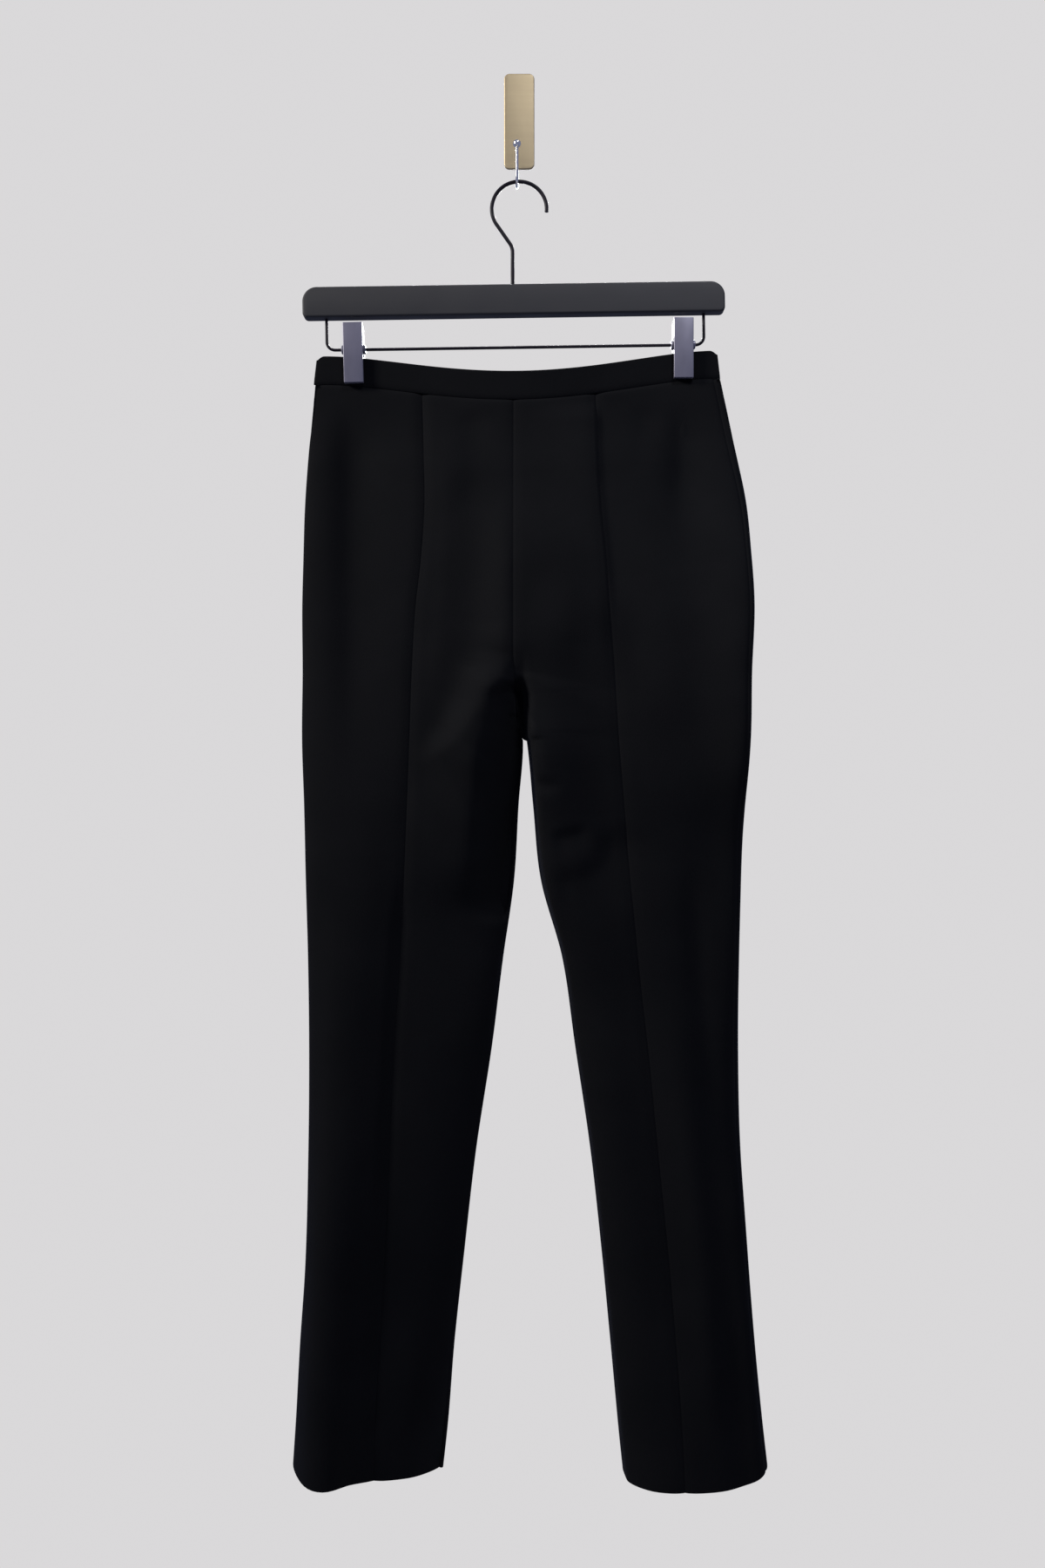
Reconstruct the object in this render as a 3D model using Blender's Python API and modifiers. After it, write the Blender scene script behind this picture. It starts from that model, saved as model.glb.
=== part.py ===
"""Slim panelled trousers hung by the waistband from a clip hanger on a wall hook.

Units are metres, +Z is up, +X is to the viewer's right and +Y points to the wall.
The origin is the middle of the wall plate's flat back face. The trousers hang with
their back towards the viewer, so the near layer is the back and the far layer the front.
"""

import math
from collections import namedtuple

import bmesh
import bpy
from mathutils import Vector

MM = 0.001
SEAM_GAP = 0.3 * MM
CLOTH = 1.4 * MM
WAIST_GAP = 0.45 * MM

# Wall plate: its back face lies in the plane y = 0.
PLATE_WIDTH = 28.0 * MM
PLATE_HEIGHT = 88.0 * MM
PLATE_THICK = 3.0 * MM
PLATE_CORNER = 5.0 * MM
PLATE_EDGE = 0.9 * MM

# Wire hook on the plate.
HOOK_X = -2.0 * MM
HOOK_WIRE = 1.35 * MM
HOOK_TIP = Vector((HOOK_X, -35.5 * MM, -36.5 * MM))
HOOK_BALL = 3.5 * MM
TROUGH_RADIUS = 6.5 * MM
TROUGH_HALF = 5.85 * MM
ROOT_DEPTH = 1.65 * MM
ROOT_DROP = 4.0 * MM
ROOT_BEND = 5.0 * MM

# Hanger: everything on it lies about this plane.
HANG_Y = -24.0 * MM
LOOP_CENTRE = Vector((0.0, HANG_Y, -90.3 * MM))
LOOP_RADIUS = 24.9 * MM
LOOP_WIRE = 1.7 * MM
LOOP_TIP_ANGLE = math.radians(-6.0)
LOOP_LEAVE_ANGLE = math.radians(215.0)
LOOP_STEPS = 26
STEM_BEND = 14.0 * MM
STEM_X = -6.0 * MM

BAR_CENTRE = Vector((-5.0 * MM, HANG_Y, -173.9 * MM))
BAR_LENGTH = 382.0 * MM
BAR_HEIGHT = 27.5 * MM
BAR_THICK = 13.0 * MM
BAR_TOP_CORNER = 13.0 * MM
BAR_FOOT_CORNER = 4.5 * MM
BAR_EDGE = 2.0 * MM
HANGER_TILT = math.radians(0.84)

ROD_WIRE = 1.35 * MM
ROD_LEFT = -170.0 * MM
ROD_RIGHT = 172.0 * MM
ROD_DROP = 42.0 * MM
ROD_CORNER = 7.5 * MM

CLIP_WIDTH = 17.7 * MM
CLIP_TOP_DROP = 19.0 * MM
CLIP_HEIGHT = 54.5 * MM
CLIP_WALL = 2.8 * MM
CLIP_SPACE = 4.5 * MM
CLIP_JAW = 9.0 * MM
CLIP_SLOPE = 5.0 * MM
CLIP_EDGE = 0.7 * MM
SLEEVE_RADIUS = 4.0 * MM
SLEEVE_LENGTH = 22.0 * MM
SLEEVE_CHAMFER = 0.8 * MM

Clip = namedtuple("Clip", "side x tilt")
CLIPS = (
    Clip("left", -146.0 * MM, math.radians(0.75)),
    Clip("right", 153.3 * MM, math.radians(-0.84)),
)

# Waistband: its lower seam line sags between the clips.
BAND_HEIGHT = 24.9 * MM
SEAM_LEVEL = -246.8 * MM
SEAM_SLOPE = 0.0146
SAG = 17.8 * MM
SAG_CENTRE = -1.0 * MM
SAG_HALF = 177.0 * MM
SAG_POWER = 1.7
BAND_LEFT = -185.0 * MM
BAND_RIGHT = 181.0 * MM
BAND_TAPER = 2.5 * MM
BAND_MIDDLE = (BAND_LEFT + BAND_RIGHT) / 2
BAND_HALF = (BAND_RIGHT - BAND_LEFT) / 2
BAND_CORNER = 3.5 * MM
CORNER_START = 0.965
BAND_LIP = 1.0 * MM
BAND_BOW_NEAR = 6.5 * MM
BAND_BOW_FAR = 5.5 * MM
BOW_HALF = 138.0 * MM
BOW_CENTRE = -2.0 * MM

# Body and legs.
CENTRE_SEAM = -5.2 * MM
CROTCH_SHIFT = 10.0 * MM
FORK_TOP = -480.0 * MM
CROTCH = -571.0 * MM
WAIST_FADE = 140.0 * MM
WAIST_BLEND = 75.0 * MM
HEM_FADE = 110.0 * MM
CREASE_TOP = -262.0 * MM
CREASE_END = -620.0 * MM
CREASE_DEPTH = 0.5
CREASE_HALF = 26.0 * MM
SIDE_RISE_SPAN = 0.33

# One row for each section, in millimetres: level below the origin, the side fold,
# the long panel seam and the inner edge, which is the centre seam above the crotch.
Section = namedtuple("Section", "level outer panel inner")
LEFT_SECTIONS = (
    Section(-250, -184.0, -88, -5),
    Section(-310, -189.5, -86, -5),
    Section(-360, -193.0, -85, -5),
    Section(-410, -194.5, -88, -5),
    Section(-455, -195.5, -93, -5),
    Section(-510, -195.0, -96, -5),
    Section(-571, -195.5, -98, 3),
    Section(-631, -193.5, -100, -1),
    Section(-698, -192.0, -103, -5),
    Section(-769, -190.0, -107, -15),
    Section(-848, -189.0, -112, -25),
    Section(-943, -189.5, -116, -39.5),
    Section(-1038, -191.5, -120, -50.5),
    Section(-1116, -196.5, -124, -59),
    Section(-1172, -199.5, -127, -64),
    Section(-1215, -202.5, -128, -69),
)
RIGHT_SECTIONS = (
    Section(-250, 181.0, 69, -5),
    Section(-310, 193.5, 70, -5),
    Section(-360, 203.0, 72, -5),
    Section(-410, 206.0, 76, -5),
    Section(-455, 207.0, 79, -5),
    Section(-510, 204.5, 84, -5),
    Section(-571, 203.5, 88, 7),
    Section(-631, 201.0, 93, 13),
    Section(-698, 199.0, 99, 20),
    Section(-769, 197.5, 106, 39.5),
    Section(-848, 197.0, 115, 51),
    Section(-943, 199.0, 124, 65),
    Section(-1038, 205.0, 133, 75.5),
    Section(-1116, 211.0, 139, 83),
    Section(-1172, 216.5, 143, 89),
    Section(-1215, 221.5, 145, 94),
)

# How far the near and the far layer stand off the line from side fold to inner edge,
# and how deep that line lies at its two ends, in millimetres.
Depth = namedtuple("Depth", "level near far side inner")
DEPTHS = (
    Depth(-250, 8.0, 6.0, -24, -24),
    Depth(-310, 12.0, 7.5, -24, -24),
    Depth(-410, 16.5, 8.5, -24, -24),
    Depth(-510, 19.5, 9.5, -24, -24),
    Depth(-631, 22.5, 10.0, -23, -24),
    Depth(-848, 25.0, 10.5, -22, -25),
    Depth(-1038, 32.5, 10.5, -21, -26),
    Depth(-1172, 42.5, 11.0, -20, -27),
    Depth(-1215, 45.0, 11.5, -19, -28),
)

# side_seam is the seam's place round the side fold: above 0 it shows from the near side.
# The two powers set how bluntly the leg turns at its side fold and at its inner edge.
Leg = namedtuple("Leg", "side sections side_seam side_power inner_power hem side_rise inner_rise")
LEGS = (
    Leg("left", LEFT_SECTIONS, -0.12, 0.9, 0.7, -1224.5 * MM, 5.0 * MM, -3.0 * MM),
    Leg("right", RIGHT_SECTIONS, 0.17, 1.35, 0.75, -1230.5 * MM, 13.0 * MM, 1.0 * MM),
)

Tone = namedtuple("Tone", "colour roughness metallic")
TONES = {
    "black_cloth": Tone((0.012, 0.012, 0.014), 0.85, 0.0),
    "band_cloth": Tone((0.014, 0.014, 0.016), 0.85, 0.0),
    "charcoal_wood": Tone((0.045, 0.042, 0.046), 0.5, 0.0),
    "black_wire": Tone((0.012, 0.010, 0.014), 0.4, 0.8),
    "grey_plastic": Tone((0.10, 0.095, 0.12), 0.4, 0.0),
    "brushed_nickel": Tone((0.48, 0.42, 0.31), 0.35, 1.0),
    "polished_nickel": Tone((0.72, 0.68, 0.60), 0.18, 1.0),
}


# ---------------------------------------------------------------- shared helpers

def clear_scene():
    """Remove every object that the scene starts with."""
    for item in list(bpy.data.objects):
        bpy.data.objects.remove(item, do_unlink=True)


def make_collection(name):
    group = bpy.data.collections.new(name)
    bpy.context.scene.collection.children.link(group)
    return group


def make_material(name, tone):
    """Return a Principled material of its own for one part."""
    material = bpy.data.materials.new(name)
    material.use_nodes = True
    shader = material.node_tree.nodes["Principled BSDF"]
    shader.inputs["Base Color"].default_value = (*tone.colour, 1.0)
    shader.inputs["Roughness"].default_value = tone.roughness
    shader.inputs["Metallic"].default_value = tone.metallic
    material.diffuse_color = (*tone.colour, 1.0)
    return material


def dress(item, tone_name):
    item.data.materials.append(make_material(item.name + "_finish", TONES[tone_name]))


def add_mesh(name, bm, group, tone_name, smooth_angle=40.0):
    """Turn a bmesh into a named, smooth-shaded object in the collection."""
    mesh = bpy.data.meshes.new(name)
    bm.to_mesh(mesh)
    bm.free()
    mesh.shade_smooth()
    mesh.set_sharp_from_angle(angle=math.radians(smooth_angle))
    item = bpy.data.objects.new(name, mesh)
    group.objects.link(item)
    dress(item, tone_name)
    return item


def add_wire(name, points, radius, group, tone_name, resolution=2):
    """A round wire with closed ends along a list of points."""
    curve = bpy.data.curves.new(name, "CURVE")
    curve.dimensions = "3D"
    curve.bevel_depth = radius
    curve.bevel_resolution = resolution
    curve.use_fill_caps = True
    spline = curve.splines.new("POLY")
    spline.points.add(len(points) - 1)
    for target, point in zip(spline.points, points):
        target.co = (*point, 1.0)
    item = bpy.data.objects.new(name, curve)
    group.objects.link(item)
    dress(item, tone_name)
    return item


def add_slab(name, outline, thickness, edge, group, tone_name):
    """A flat outline given thickness both ways, with softened edges."""
    curve = bpy.data.curves.new(name, "CURVE")
    curve.dimensions = "2D"
    curve.fill_mode = "BOTH"
    curve.extrude = thickness / 2 - edge
    curve.bevel_depth = edge
    curve.bevel_resolution = 1
    curve.offset = -edge
    spline = curve.splines.new("POLY")
    spline.points.add(len(outline) - 1)
    for target, (across, up) in zip(spline.points, outline):
        target.co = (across, up, 0.0, 1.0)
    spline.use_cyclic_u = True
    item = bpy.data.objects.new(name, curve)
    group.objects.link(item)
    dress(item, tone_name)
    return item


def mesh_of(item, group):
    """Replace a curve object by a welded mesh object of the same name."""
    graph = bpy.context.evaluated_depsgraph_get()
    mesh = bpy.data.meshes.new_from_object(item.evaluated_get(graph))
    bm = bmesh.new()
    bm.from_mesh(mesh)
    bmesh.ops.remove_doubles(bm, verts=bm.verts, dist=0.01 * MM)
    bm.to_mesh(mesh)
    bm.free()
    name = item.name
    placed = item.matrix_world.copy()
    bpy.data.objects.remove(item, do_unlink=True)
    solid = bpy.data.objects.new(name, mesh)
    solid.matrix_world = placed
    group.objects.link(solid)
    return solid


def rounded_corners(corners, steps=5):
    """Outline of a polygon whose corners, given as (x, y, radius), are round."""
    outline = []
    count = len(corners)
    for index, (x, y, radius) in enumerate(corners):
        here = Vector((x, y))
        before = Vector(corners[index - 1][:2]) - here
        after = Vector(corners[(index + 1) % count][:2]) - here
        outline.extend(fillet(here, before, after, radius, steps))
    return outline


def fillet(corner, before, after, radius, steps):
    """Points of the arc that rounds a corner between two directions."""
    if radius <= 0:
        return [corner]
    towards = before.normalized()
    away = after.normalized()
    half = towards.angle(away) / 2
    bisector = (towards + away).normalized()
    centre = corner + bisector * (radius / math.sin(half))
    start = corner + towards * (radius / math.tan(half)) - centre
    end = corner + away * (radius / math.tan(half)) - centre
    sweep = start.angle(end)
    points = []
    for step in range(steps + 1):
        share = step / steps
        blend = start * math.sin((1 - share) * sweep) + end * math.sin(share * sweep)
        points.append(centre + blend / math.sin(sweep))
    return points


def ease(value):
    """Smooth step from 0 to 1."""
    share = min(1.0, max(0.0, value))
    return share * share * (3 - 2 * share)


def read_table(table, column, level):
    """Value of one column at a level, on a smooth curve through the rows."""
    rows = [(row.level * MM, getattr(row, column) * MM) for row in table]
    last = len(rows) - 1
    index = 0
    while index < last - 1 and level < rows[index + 1][0]:
        index += 1
    z_top, v_top = rows[index]
    z_low, v_low = rows[index + 1]
    span = z_low - z_top
    share = min(1.0, max(0.0, (level - z_top) / span))
    above = rows[max(index - 1, 0)]
    below = rows[min(index + 2, last)]
    slope_top = (v_low - above[1]) / (z_low - above[0]) * span
    slope_low = (below[1] - v_top) / (below[0] - z_top) * span
    cube = share ** 3
    square = share ** 2
    return (
        (2 * cube - 3 * square + 1) * v_top
        + (cube - 2 * square + share) * slope_top
        + (3 * square - 2 * cube) * v_low
        + (cube - square) * slope_low
    )


# ---------------------------------------------------------------- wall hook

def build_wall_plate(group):
    half_width = PLATE_WIDTH / 2
    half_height = PLATE_HEIGHT / 2
    corners = [
        (-half_width, -half_height, PLATE_CORNER),
        (half_width, -half_height, PLATE_CORNER),
        (half_width, half_height, PLATE_CORNER),
        (-half_width, half_height, PLATE_CORNER),
    ]
    plate = add_slab(
        "wall_plate", rounded_corners(corners), PLATE_THICK, PLATE_EDGE, group, "brushed_nickel"
    )
    plate.rotation_euler = (math.radians(90), 0, 0)
    plate.location = (0, -PLATE_THICK / 2, 0)


def wall_hook_path():
    """From the plate's foot down to the trough and up the front to the ball."""
    trough_top = LOOP_CENTRE.z + LOOP_RADIUS - LOOP_WIRE - SEAM_GAP
    bottom = trough_top - HOOK_WIRE
    root = Vector((-ROOT_DEPTH, -PLATE_HEIGHT / 2 - SEAM_GAP))
    back_turn = Vector((HANG_Y + TROUGH_HALF, bottom))
    front_turn = Vector((HANG_Y - TROUGH_HALF, bottom))
    tip = Vector((HOOK_TIP.y, HOOK_TIP.z))
    below_root = root + Vector((0, -ROOT_DROP))
    path = [root]
    path += fillet(below_root, root - below_root, back_turn - below_root, ROOT_BEND, 4)
    path += fillet(back_turn, below_root - back_turn, front_turn - back_turn, TROUGH_RADIUS, 6)
    path += fillet(front_turn, back_turn - front_turn, tip - front_turn, TROUGH_RADIUS, 6)
    path.append(tip)
    return [Vector((HOOK_X, depth, height)) for depth, height in path]


def build_wall_hook(group, cutters):
    wire = add_wire("wall_hook", wall_hook_path(), HOOK_WIRE, group, "polished_nickel")
    hook = mesh_of(wire, group)
    bpy.ops.mesh.primitive_uv_sphere_add(
        segments=16, ring_count=10, radius=HOOK_BALL, location=HOOK_TIP
    )
    ball = bpy.context.object
    ball.name = "hook_ball_tool"
    for owner in list(ball.users_collection):
        owner.objects.unlink(ball)
    cutters.objects.link(ball)
    ball.hide_render = True
    ball.display_type = "WIRE"
    join = hook.modifiers.new("tip", "BOOLEAN")
    join.operation = "UNION"
    join.solver = "EXACT"
    join.object = ball
    hook.data.shade_smooth()


# ---------------------------------------------------------------- hanger

def hanger_loop_path():
    """Round loop from its free tip over the top, then a bend into the straight stem."""
    sweep = LOOP_LEAVE_ANGLE - LOOP_TIP_ANGLE
    path = []
    for step in range(LOOP_STEPS + 1):
        angle = LOOP_TIP_ANGLE + sweep * step / LOOP_STEPS
        path.append(Vector((math.cos(angle), math.sin(angle))) * LOOP_RADIUS)
    leave = path[-1]
    heading = Vector((-math.sin(LOOP_LEAVE_ANGLE), math.cos(LOOP_LEAVE_ANGLE)))
    run = (STEM_X - LOOP_CENTRE.x - leave.x) / heading.x
    bend = leave + heading * run
    stem_top = BAR_CENTRE.z + BAR_HEIGHT / 2 + SEAM_GAP - LOOP_CENTRE.z
    foot = Vector((bend.x, stem_top))
    path += fillet(bend, leave - bend, foot - bend, STEM_BEND, 5)
    path.append(foot)
    return [LOOP_CENTRE + Vector((across, 0, up)) for across, up in path]


def build_hanger(group):
    add_wire("hanger_hook", hanger_loop_path(), LOOP_WIRE, group, "black_wire")
    frame = bpy.data.objects.new("hanger_frame", None)
    frame.location = BAR_CENTRE
    frame.rotation_euler = (0, -HANGER_TILT, 0)
    group.objects.link(frame)
    build_bar(group, frame)
    build_rod(group, frame)
    for clip in CLIPS:
        build_clip(clip, group, frame)


def build_bar(group, frame):
    half_length = BAR_LENGTH / 2
    half_height = BAR_HEIGHT / 2
    corners = [
        (-half_length, -half_height, BAR_FOOT_CORNER),
        (half_length, -half_height, BAR_FOOT_CORNER),
        (half_length, half_height, BAR_TOP_CORNER),
        (-half_length, half_height, BAR_TOP_CORNER),
    ]
    bar = add_slab(
        "hanger_bar", rounded_corners(corners, 6), BAR_THICK, BAR_EDGE, group, "charcoal_wood"
    )
    bar.rotation_euler = (math.radians(90), 0, 0)
    bar.parent = frame


def build_rod(group, frame):
    """Thin wire hung below the bar, on which the clips ride."""
    top = -BAR_HEIGHT / 2 - SEAM_GAP
    left = Vector((ROD_LEFT, -ROD_DROP))
    right = Vector((ROD_RIGHT, -ROD_DROP))
    left_top = Vector((ROD_LEFT, top))
    right_top = Vector((ROD_RIGHT, top))
    path = [left_top]
    path += fillet(left, left_top - left, right - left, ROD_CORNER, 6)
    path += fillet(right, left - right, right_top - right, ROD_CORNER, 6)
    path.append(right_top)
    points = [Vector((across, 0, up)) for across, up in path]
    rod = add_wire("clip_rod", points, ROD_WIRE, group, "black_wire")
    rod.parent = frame


def clip_profile():
    """Side outline of one clip arm: a flat plate with a thicker jaw at its foot."""
    band_face = BAND_LIP + CLOTH + SEAM_GAP
    outer = CLIP_SPACE + CLIP_WALL
    foot = -CLIP_HEIGHT
    jaw_top = foot + CLIP_JAW
    return [
        (CLIP_SPACE, 0.0),
        (CLIP_SPACE, jaw_top + CLIP_SLOPE),
        (band_face, jaw_top),
        (band_face, foot),
        (outer, foot),
        (outer, 0.0),
    ]


def build_clip(clip, group, frame):
    """Two arms that grip the waistband and the sleeve that rides on the rod."""
    for facing, sign in (("near", -1), ("far", 1)):
        bm = bmesh.new()
        profile = [bm.verts.new((-CLIP_WIDTH / 2, sign * out, up)) for out, up in clip_profile()]
        face = bm.faces.new(profile)
        swept = bmesh.ops.extrude_face_region(bm, geom=[face])
        moved = [part for part in swept["geom"] if isinstance(part, bmesh.types.BMVert)]
        bmesh.ops.translate(bm, vec=(CLIP_WIDTH, 0, 0), verts=moved)
        bmesh.ops.recalc_face_normals(bm, faces=bm.faces)
        bmesh.ops.bevel(
            bm, geom=bm.edges[:], offset=CLIP_EDGE, segments=2, profile=0.5, affect="EDGES"
        )
        arm = add_mesh(f"clip_{clip.side}_{facing}_arm", bm, group, "grey_plastic", 30.0)
        arm.parent = frame
        arm.location = (clip.x, 0, -CLIP_TOP_DROP)
        arm.rotation_euler = (0, -clip.tilt, 0)
    sleeve = add_sleeve(f"clip_{clip.side}_sleeve", group)
    sleeve.parent = frame
    sleeve.location = (clip.x + math.sin(clip.tilt) * (ROD_DROP - CLIP_TOP_DROP), 0, -ROD_DROP)


def add_sleeve(name, group):
    """Short round tube about the rod, turned from its wall's outline."""
    bore = ROD_WIRE + SEAM_GAP
    half = SLEEVE_LENGTH / 2
    outline = [
        (-half, bore),
        (half, bore),
        (half, SLEEVE_RADIUS - SLEEVE_CHAMFER),
        (half - SLEEVE_CHAMFER, SLEEVE_RADIUS),
        (-half + SLEEVE_CHAMFER, SLEEVE_RADIUS),
        (-half, SLEEVE_RADIUS - SLEEVE_CHAMFER),
    ]
    bm = bmesh.new()
    ring = [bm.verts.new((along, 0, out)) for along, out in outline]
    edges = [bm.edges.new((ring[i], ring[(i + 1) % len(ring)])) for i in range(len(ring))]
    bmesh.ops.spin(
        bm, geom=ring + edges, cent=(0, 0, 0), axis=(1, 0, 0), angle=math.tau, steps=20,
        use_merge=True,
    )
    bmesh.ops.recalc_face_normals(bm, faces=bm.faces)
    return add_mesh(name, bm, group, "grey_plastic", 30.0)


# ---------------------------------------------------------------- trousers

def seam_line(x):
    """Height of the waistband's lower seam at x."""
    reach = min(1.0, abs(x - SAG_CENTRE) / SAG_HALF)
    return SEAM_LEVEL + SEAM_SLOPE * x - SAG * math.cos(reach * math.pi / 2) ** SAG_POWER


def waist_depth(x, near):
    """How far the waist stands off the hanger plane: pinched at clips, bowed between."""
    reach = min(1.0, abs(x - BAND_MIDDLE) / BAND_HALF)
    lip = BAND_LIP * math.sqrt(1 - reach ** 6)
    spread = min(1.0, abs(x - BOW_CENTRE) / BOW_HALF)
    bow = BAND_BOW_NEAR if near else BAND_BOW_FAR
    return lip + bow * math.cos(spread * math.pi / 2) ** 2


def fork_fullness(level):
    """1 above the fork, falling on a quarter ellipse to 0 at the crotch."""
    height = (level - CROTCH) / (FORK_TOP - CROTCH)
    share = min(1.0, max(0.0, height))
    return math.sqrt(1 - (1 - share) ** 2)


def inner_edge(leg, level):
    """The centre seam above the crotch, the inner edge of the leg below it."""
    if level < CROTCH:
        return read_table(leg.sections, "inner", level)
    opening = SEAM_GAP / 2 + 1.6 * MM * (1 - fork_fullness(level))
    shift = CROTCH_SHIFT * (1 - fork_fullness(level)) ** 1.5
    away = -1 if leg.side == "left" else 1
    return CENTRE_SEAM + shift + away * opening


def clip_creases(x, level):
    """Share of depth left beside the soft troughs that run down from the clips."""
    strength = CREASE_DEPTH * (1 - ease((CREASE_TOP - level) / (CREASE_TOP - CREASE_END)))
    left = 1.0
    for clip in CLIPS:
        from_clip = (x - clip.x - BAR_CENTRE.x) / CREASE_HALF
        left -= strength * math.exp(-from_clip ** 2)
    return left


def layer_depth(leg, level, turn, x):
    """Distance of the layer from the leg's middle line; turn runs from 1 to -1."""
    near = turn > 0
    reach = min(1.0, abs(turn))
    room = max(0.0, 1 - turn * turn)
    side_power = leg.side_power
    inner_power = leg.inner_power
    total = side_power + 2 * inner_power
    peak = (side_power / total) ** (side_power / 2) * (2 * inner_power / total) ** inner_power
    tube = reach ** side_power * room ** inner_power / peak
    seat = math.sin(reach * math.pi / 2)
    full = fork_fullness(level)
    stand = read_table(DEPTHS, "near" if near else "far", level)
    body = stand * ((1 - full) * tube + full * seat) * clip_creases(x, level)
    from_waist = ease((LEFT_SECTIONS[0].level * MM - level) / WAIST_BLEND)
    return waist_depth(x, near) * (1 - from_waist) + body * from_waist


def trouser_point(leg, level, turn):
    """Point on the inside of the cloth.

    turn is 1 at the inner edge of the near layer, 0 at the side fold and -1 at the
    inner edge of the far layer.
    """
    outer = read_table(leg.sections, "outer", level)
    inner = inner_edge(leg, level)
    x = inner + (outer - inner) * (1 - turn * turn)
    depth = layer_depth(leg, level, turn, x) + SEAM_GAP / 2 * turn * turn
    side = read_table(DEPTHS, "side", level)
    inseam = read_table(DEPTHS, "inner", level)
    middle = side + (inseam - side) * turn * turn
    y = middle - math.copysign(depth, turn)
    top = LEFT_SECTIONS[0].level * MM
    foot = LEFT_SECTIONS[-1].level * MM
    at_waist = 1 - ease((top - level) / WAIST_FADE)
    at_hem = ease(1 - (level - foot) / HEM_FADE)
    rise = leg.side_rise * math.exp(-(turn / SIDE_RISE_SPAN) ** 2) + leg.inner_rise * turn ** 8
    z = level + (seam_line(x) - WAIST_GAP - top) * at_waist + (leg.hem + rise - foot) * at_hem
    return Vector((x, y, z))


def seam_share(leg, level, turn):
    """Half a seam gap as a change of turn."""
    outer = read_table(leg.sections, "outer", level)
    inner = inner_edge(leg, level)
    stand = read_table(DEPTHS, "near", level)
    return SEAM_GAP / 2 / math.hypot(2 * turn * (outer - inner), stand)


def panel_turn(leg, level):
    """Turn at which the long panel seam lies."""
    outer = read_table(leg.sections, "outer", level)
    inner = inner_edge(leg, level)
    panel = read_table(leg.sections, "panel", level)
    return math.sqrt(1 - (panel - inner) / (outer - inner))


def row_levels():
    """Section levels with one more between each two."""
    levels = []
    rows = [row.level * MM for row in LEFT_SECTIONS]
    for upper, lower in zip(rows, rows[1:]):
        levels += [upper, (upper + lower) / 2]
    levels.append(rows[-1])
    return levels


def add_cloth(name, columns, rows, place, group, tone_name):
    """A grid laid on the cloth's inner side by place(column, row), then given its wall."""
    bm = bmesh.new()
    bmesh.ops.create_grid(bm, x_segments=columns, y_segments=rows, size=1.0)
    for vert in bm.verts:
        column = (vert.co.x + 1) / 2
        row = (1 - vert.co.y) / 2 * rows
        vert.co = place(column, round(row))
    cloth = add_mesh(name, bm, group, tone_name, 60.0)
    wall = cloth.modifiers.new("wall", "SOLIDIFY")
    wall.thickness = CLOTH
    wall.offset = 1.0
    return cloth


def face_outwards(cloth, reverse):
    if reverse:
        cloth.data.flip_normals()


def build_leg(leg, group):
    levels = row_levels()
    rows = len(levels) - 1

    def span(name, columns, start_at, end_at):
        def place(column, row):
            level = levels[row]
            start = start_at(level)
            end = end_at(level)
            return trouser_point(leg, level, start + (end - start) * column)

        cloth = add_cloth(name, columns, rows, place, group, "black_cloth")
        face_outwards(cloth, leg.side == "left")

    def at_panel(direction):
        def turn(level):
            seam = panel_turn(leg, level)
            return seam + direction * seam_share(leg, level, seam)
        return turn

    def at_side(direction):
        def turn(level):
            return leg.side_seam + direction * seam_share(leg, level, leg.side_seam)
        return turn

    span(f"back_centre_{leg.side}", 7, lambda level: 1.0, at_panel(1))
    span(f"back_side_{leg.side}", 6, at_panel(-1), at_side(1))
    span(f"front_{leg.side}", 13, at_side(-1), lambda level: -1.0)


def band_point(across, up, near):
    """Point on the inside of the waistband; across runs from -1 to 1, up from 0 to 1."""
    offset = math.sin(across * math.pi / 2)
    foot_x = BAND_MIDDLE + BAND_HALF * offset
    x = foot_x - BAND_TAPER * up * offset
    past = max(0.0, (abs(offset) - CORNER_START) / (1 - CORNER_START))
    depth = waist_depth(foot_x, near) + SEAM_GAP / 2
    y = HANG_Y - depth if near else HANG_Y + depth
    return Vector((x, y, seam_line(x) + up * (BAND_HEIGHT - BAND_CORNER * past ** 2)))


def build_waistband(group):
    rows = 3
    for facing, near in (("back", True), ("front", False)):
        def place(column, row, near=near):
            return band_point(2 * column - 1, 1 - row / rows, near)

        band = add_cloth(f"waistband_{facing}", 30, rows, place, group, "band_cloth")
        face_outwards(band, not near)


def main():
    clear_scene()
    group = make_collection("trousers_on_clip_hanger")
    cutters = make_collection("joining_tools")
    build_wall_plate(group)
    build_wall_hook(group, cutters)
    build_hanger(group)
    build_waistband(group)
    for leg in LEGS:
        build_leg(leg, group)


main()
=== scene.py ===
"""Looks of slim black panelled trousers hung from a clip hanger on a small wall hook.

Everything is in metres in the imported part's frame: +Z is up, +Y points to the wall and +X
is to the viewer's right. The trousers hang with their back to the viewer, so the near
layer is the back and the far layer the front.
"""

import logging
import math
from collections.abc import Callable
from dataclasses import dataclass, field
from enum import Enum

import bmesh
import bpy
from mathutils import Matrix, Vector


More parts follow.
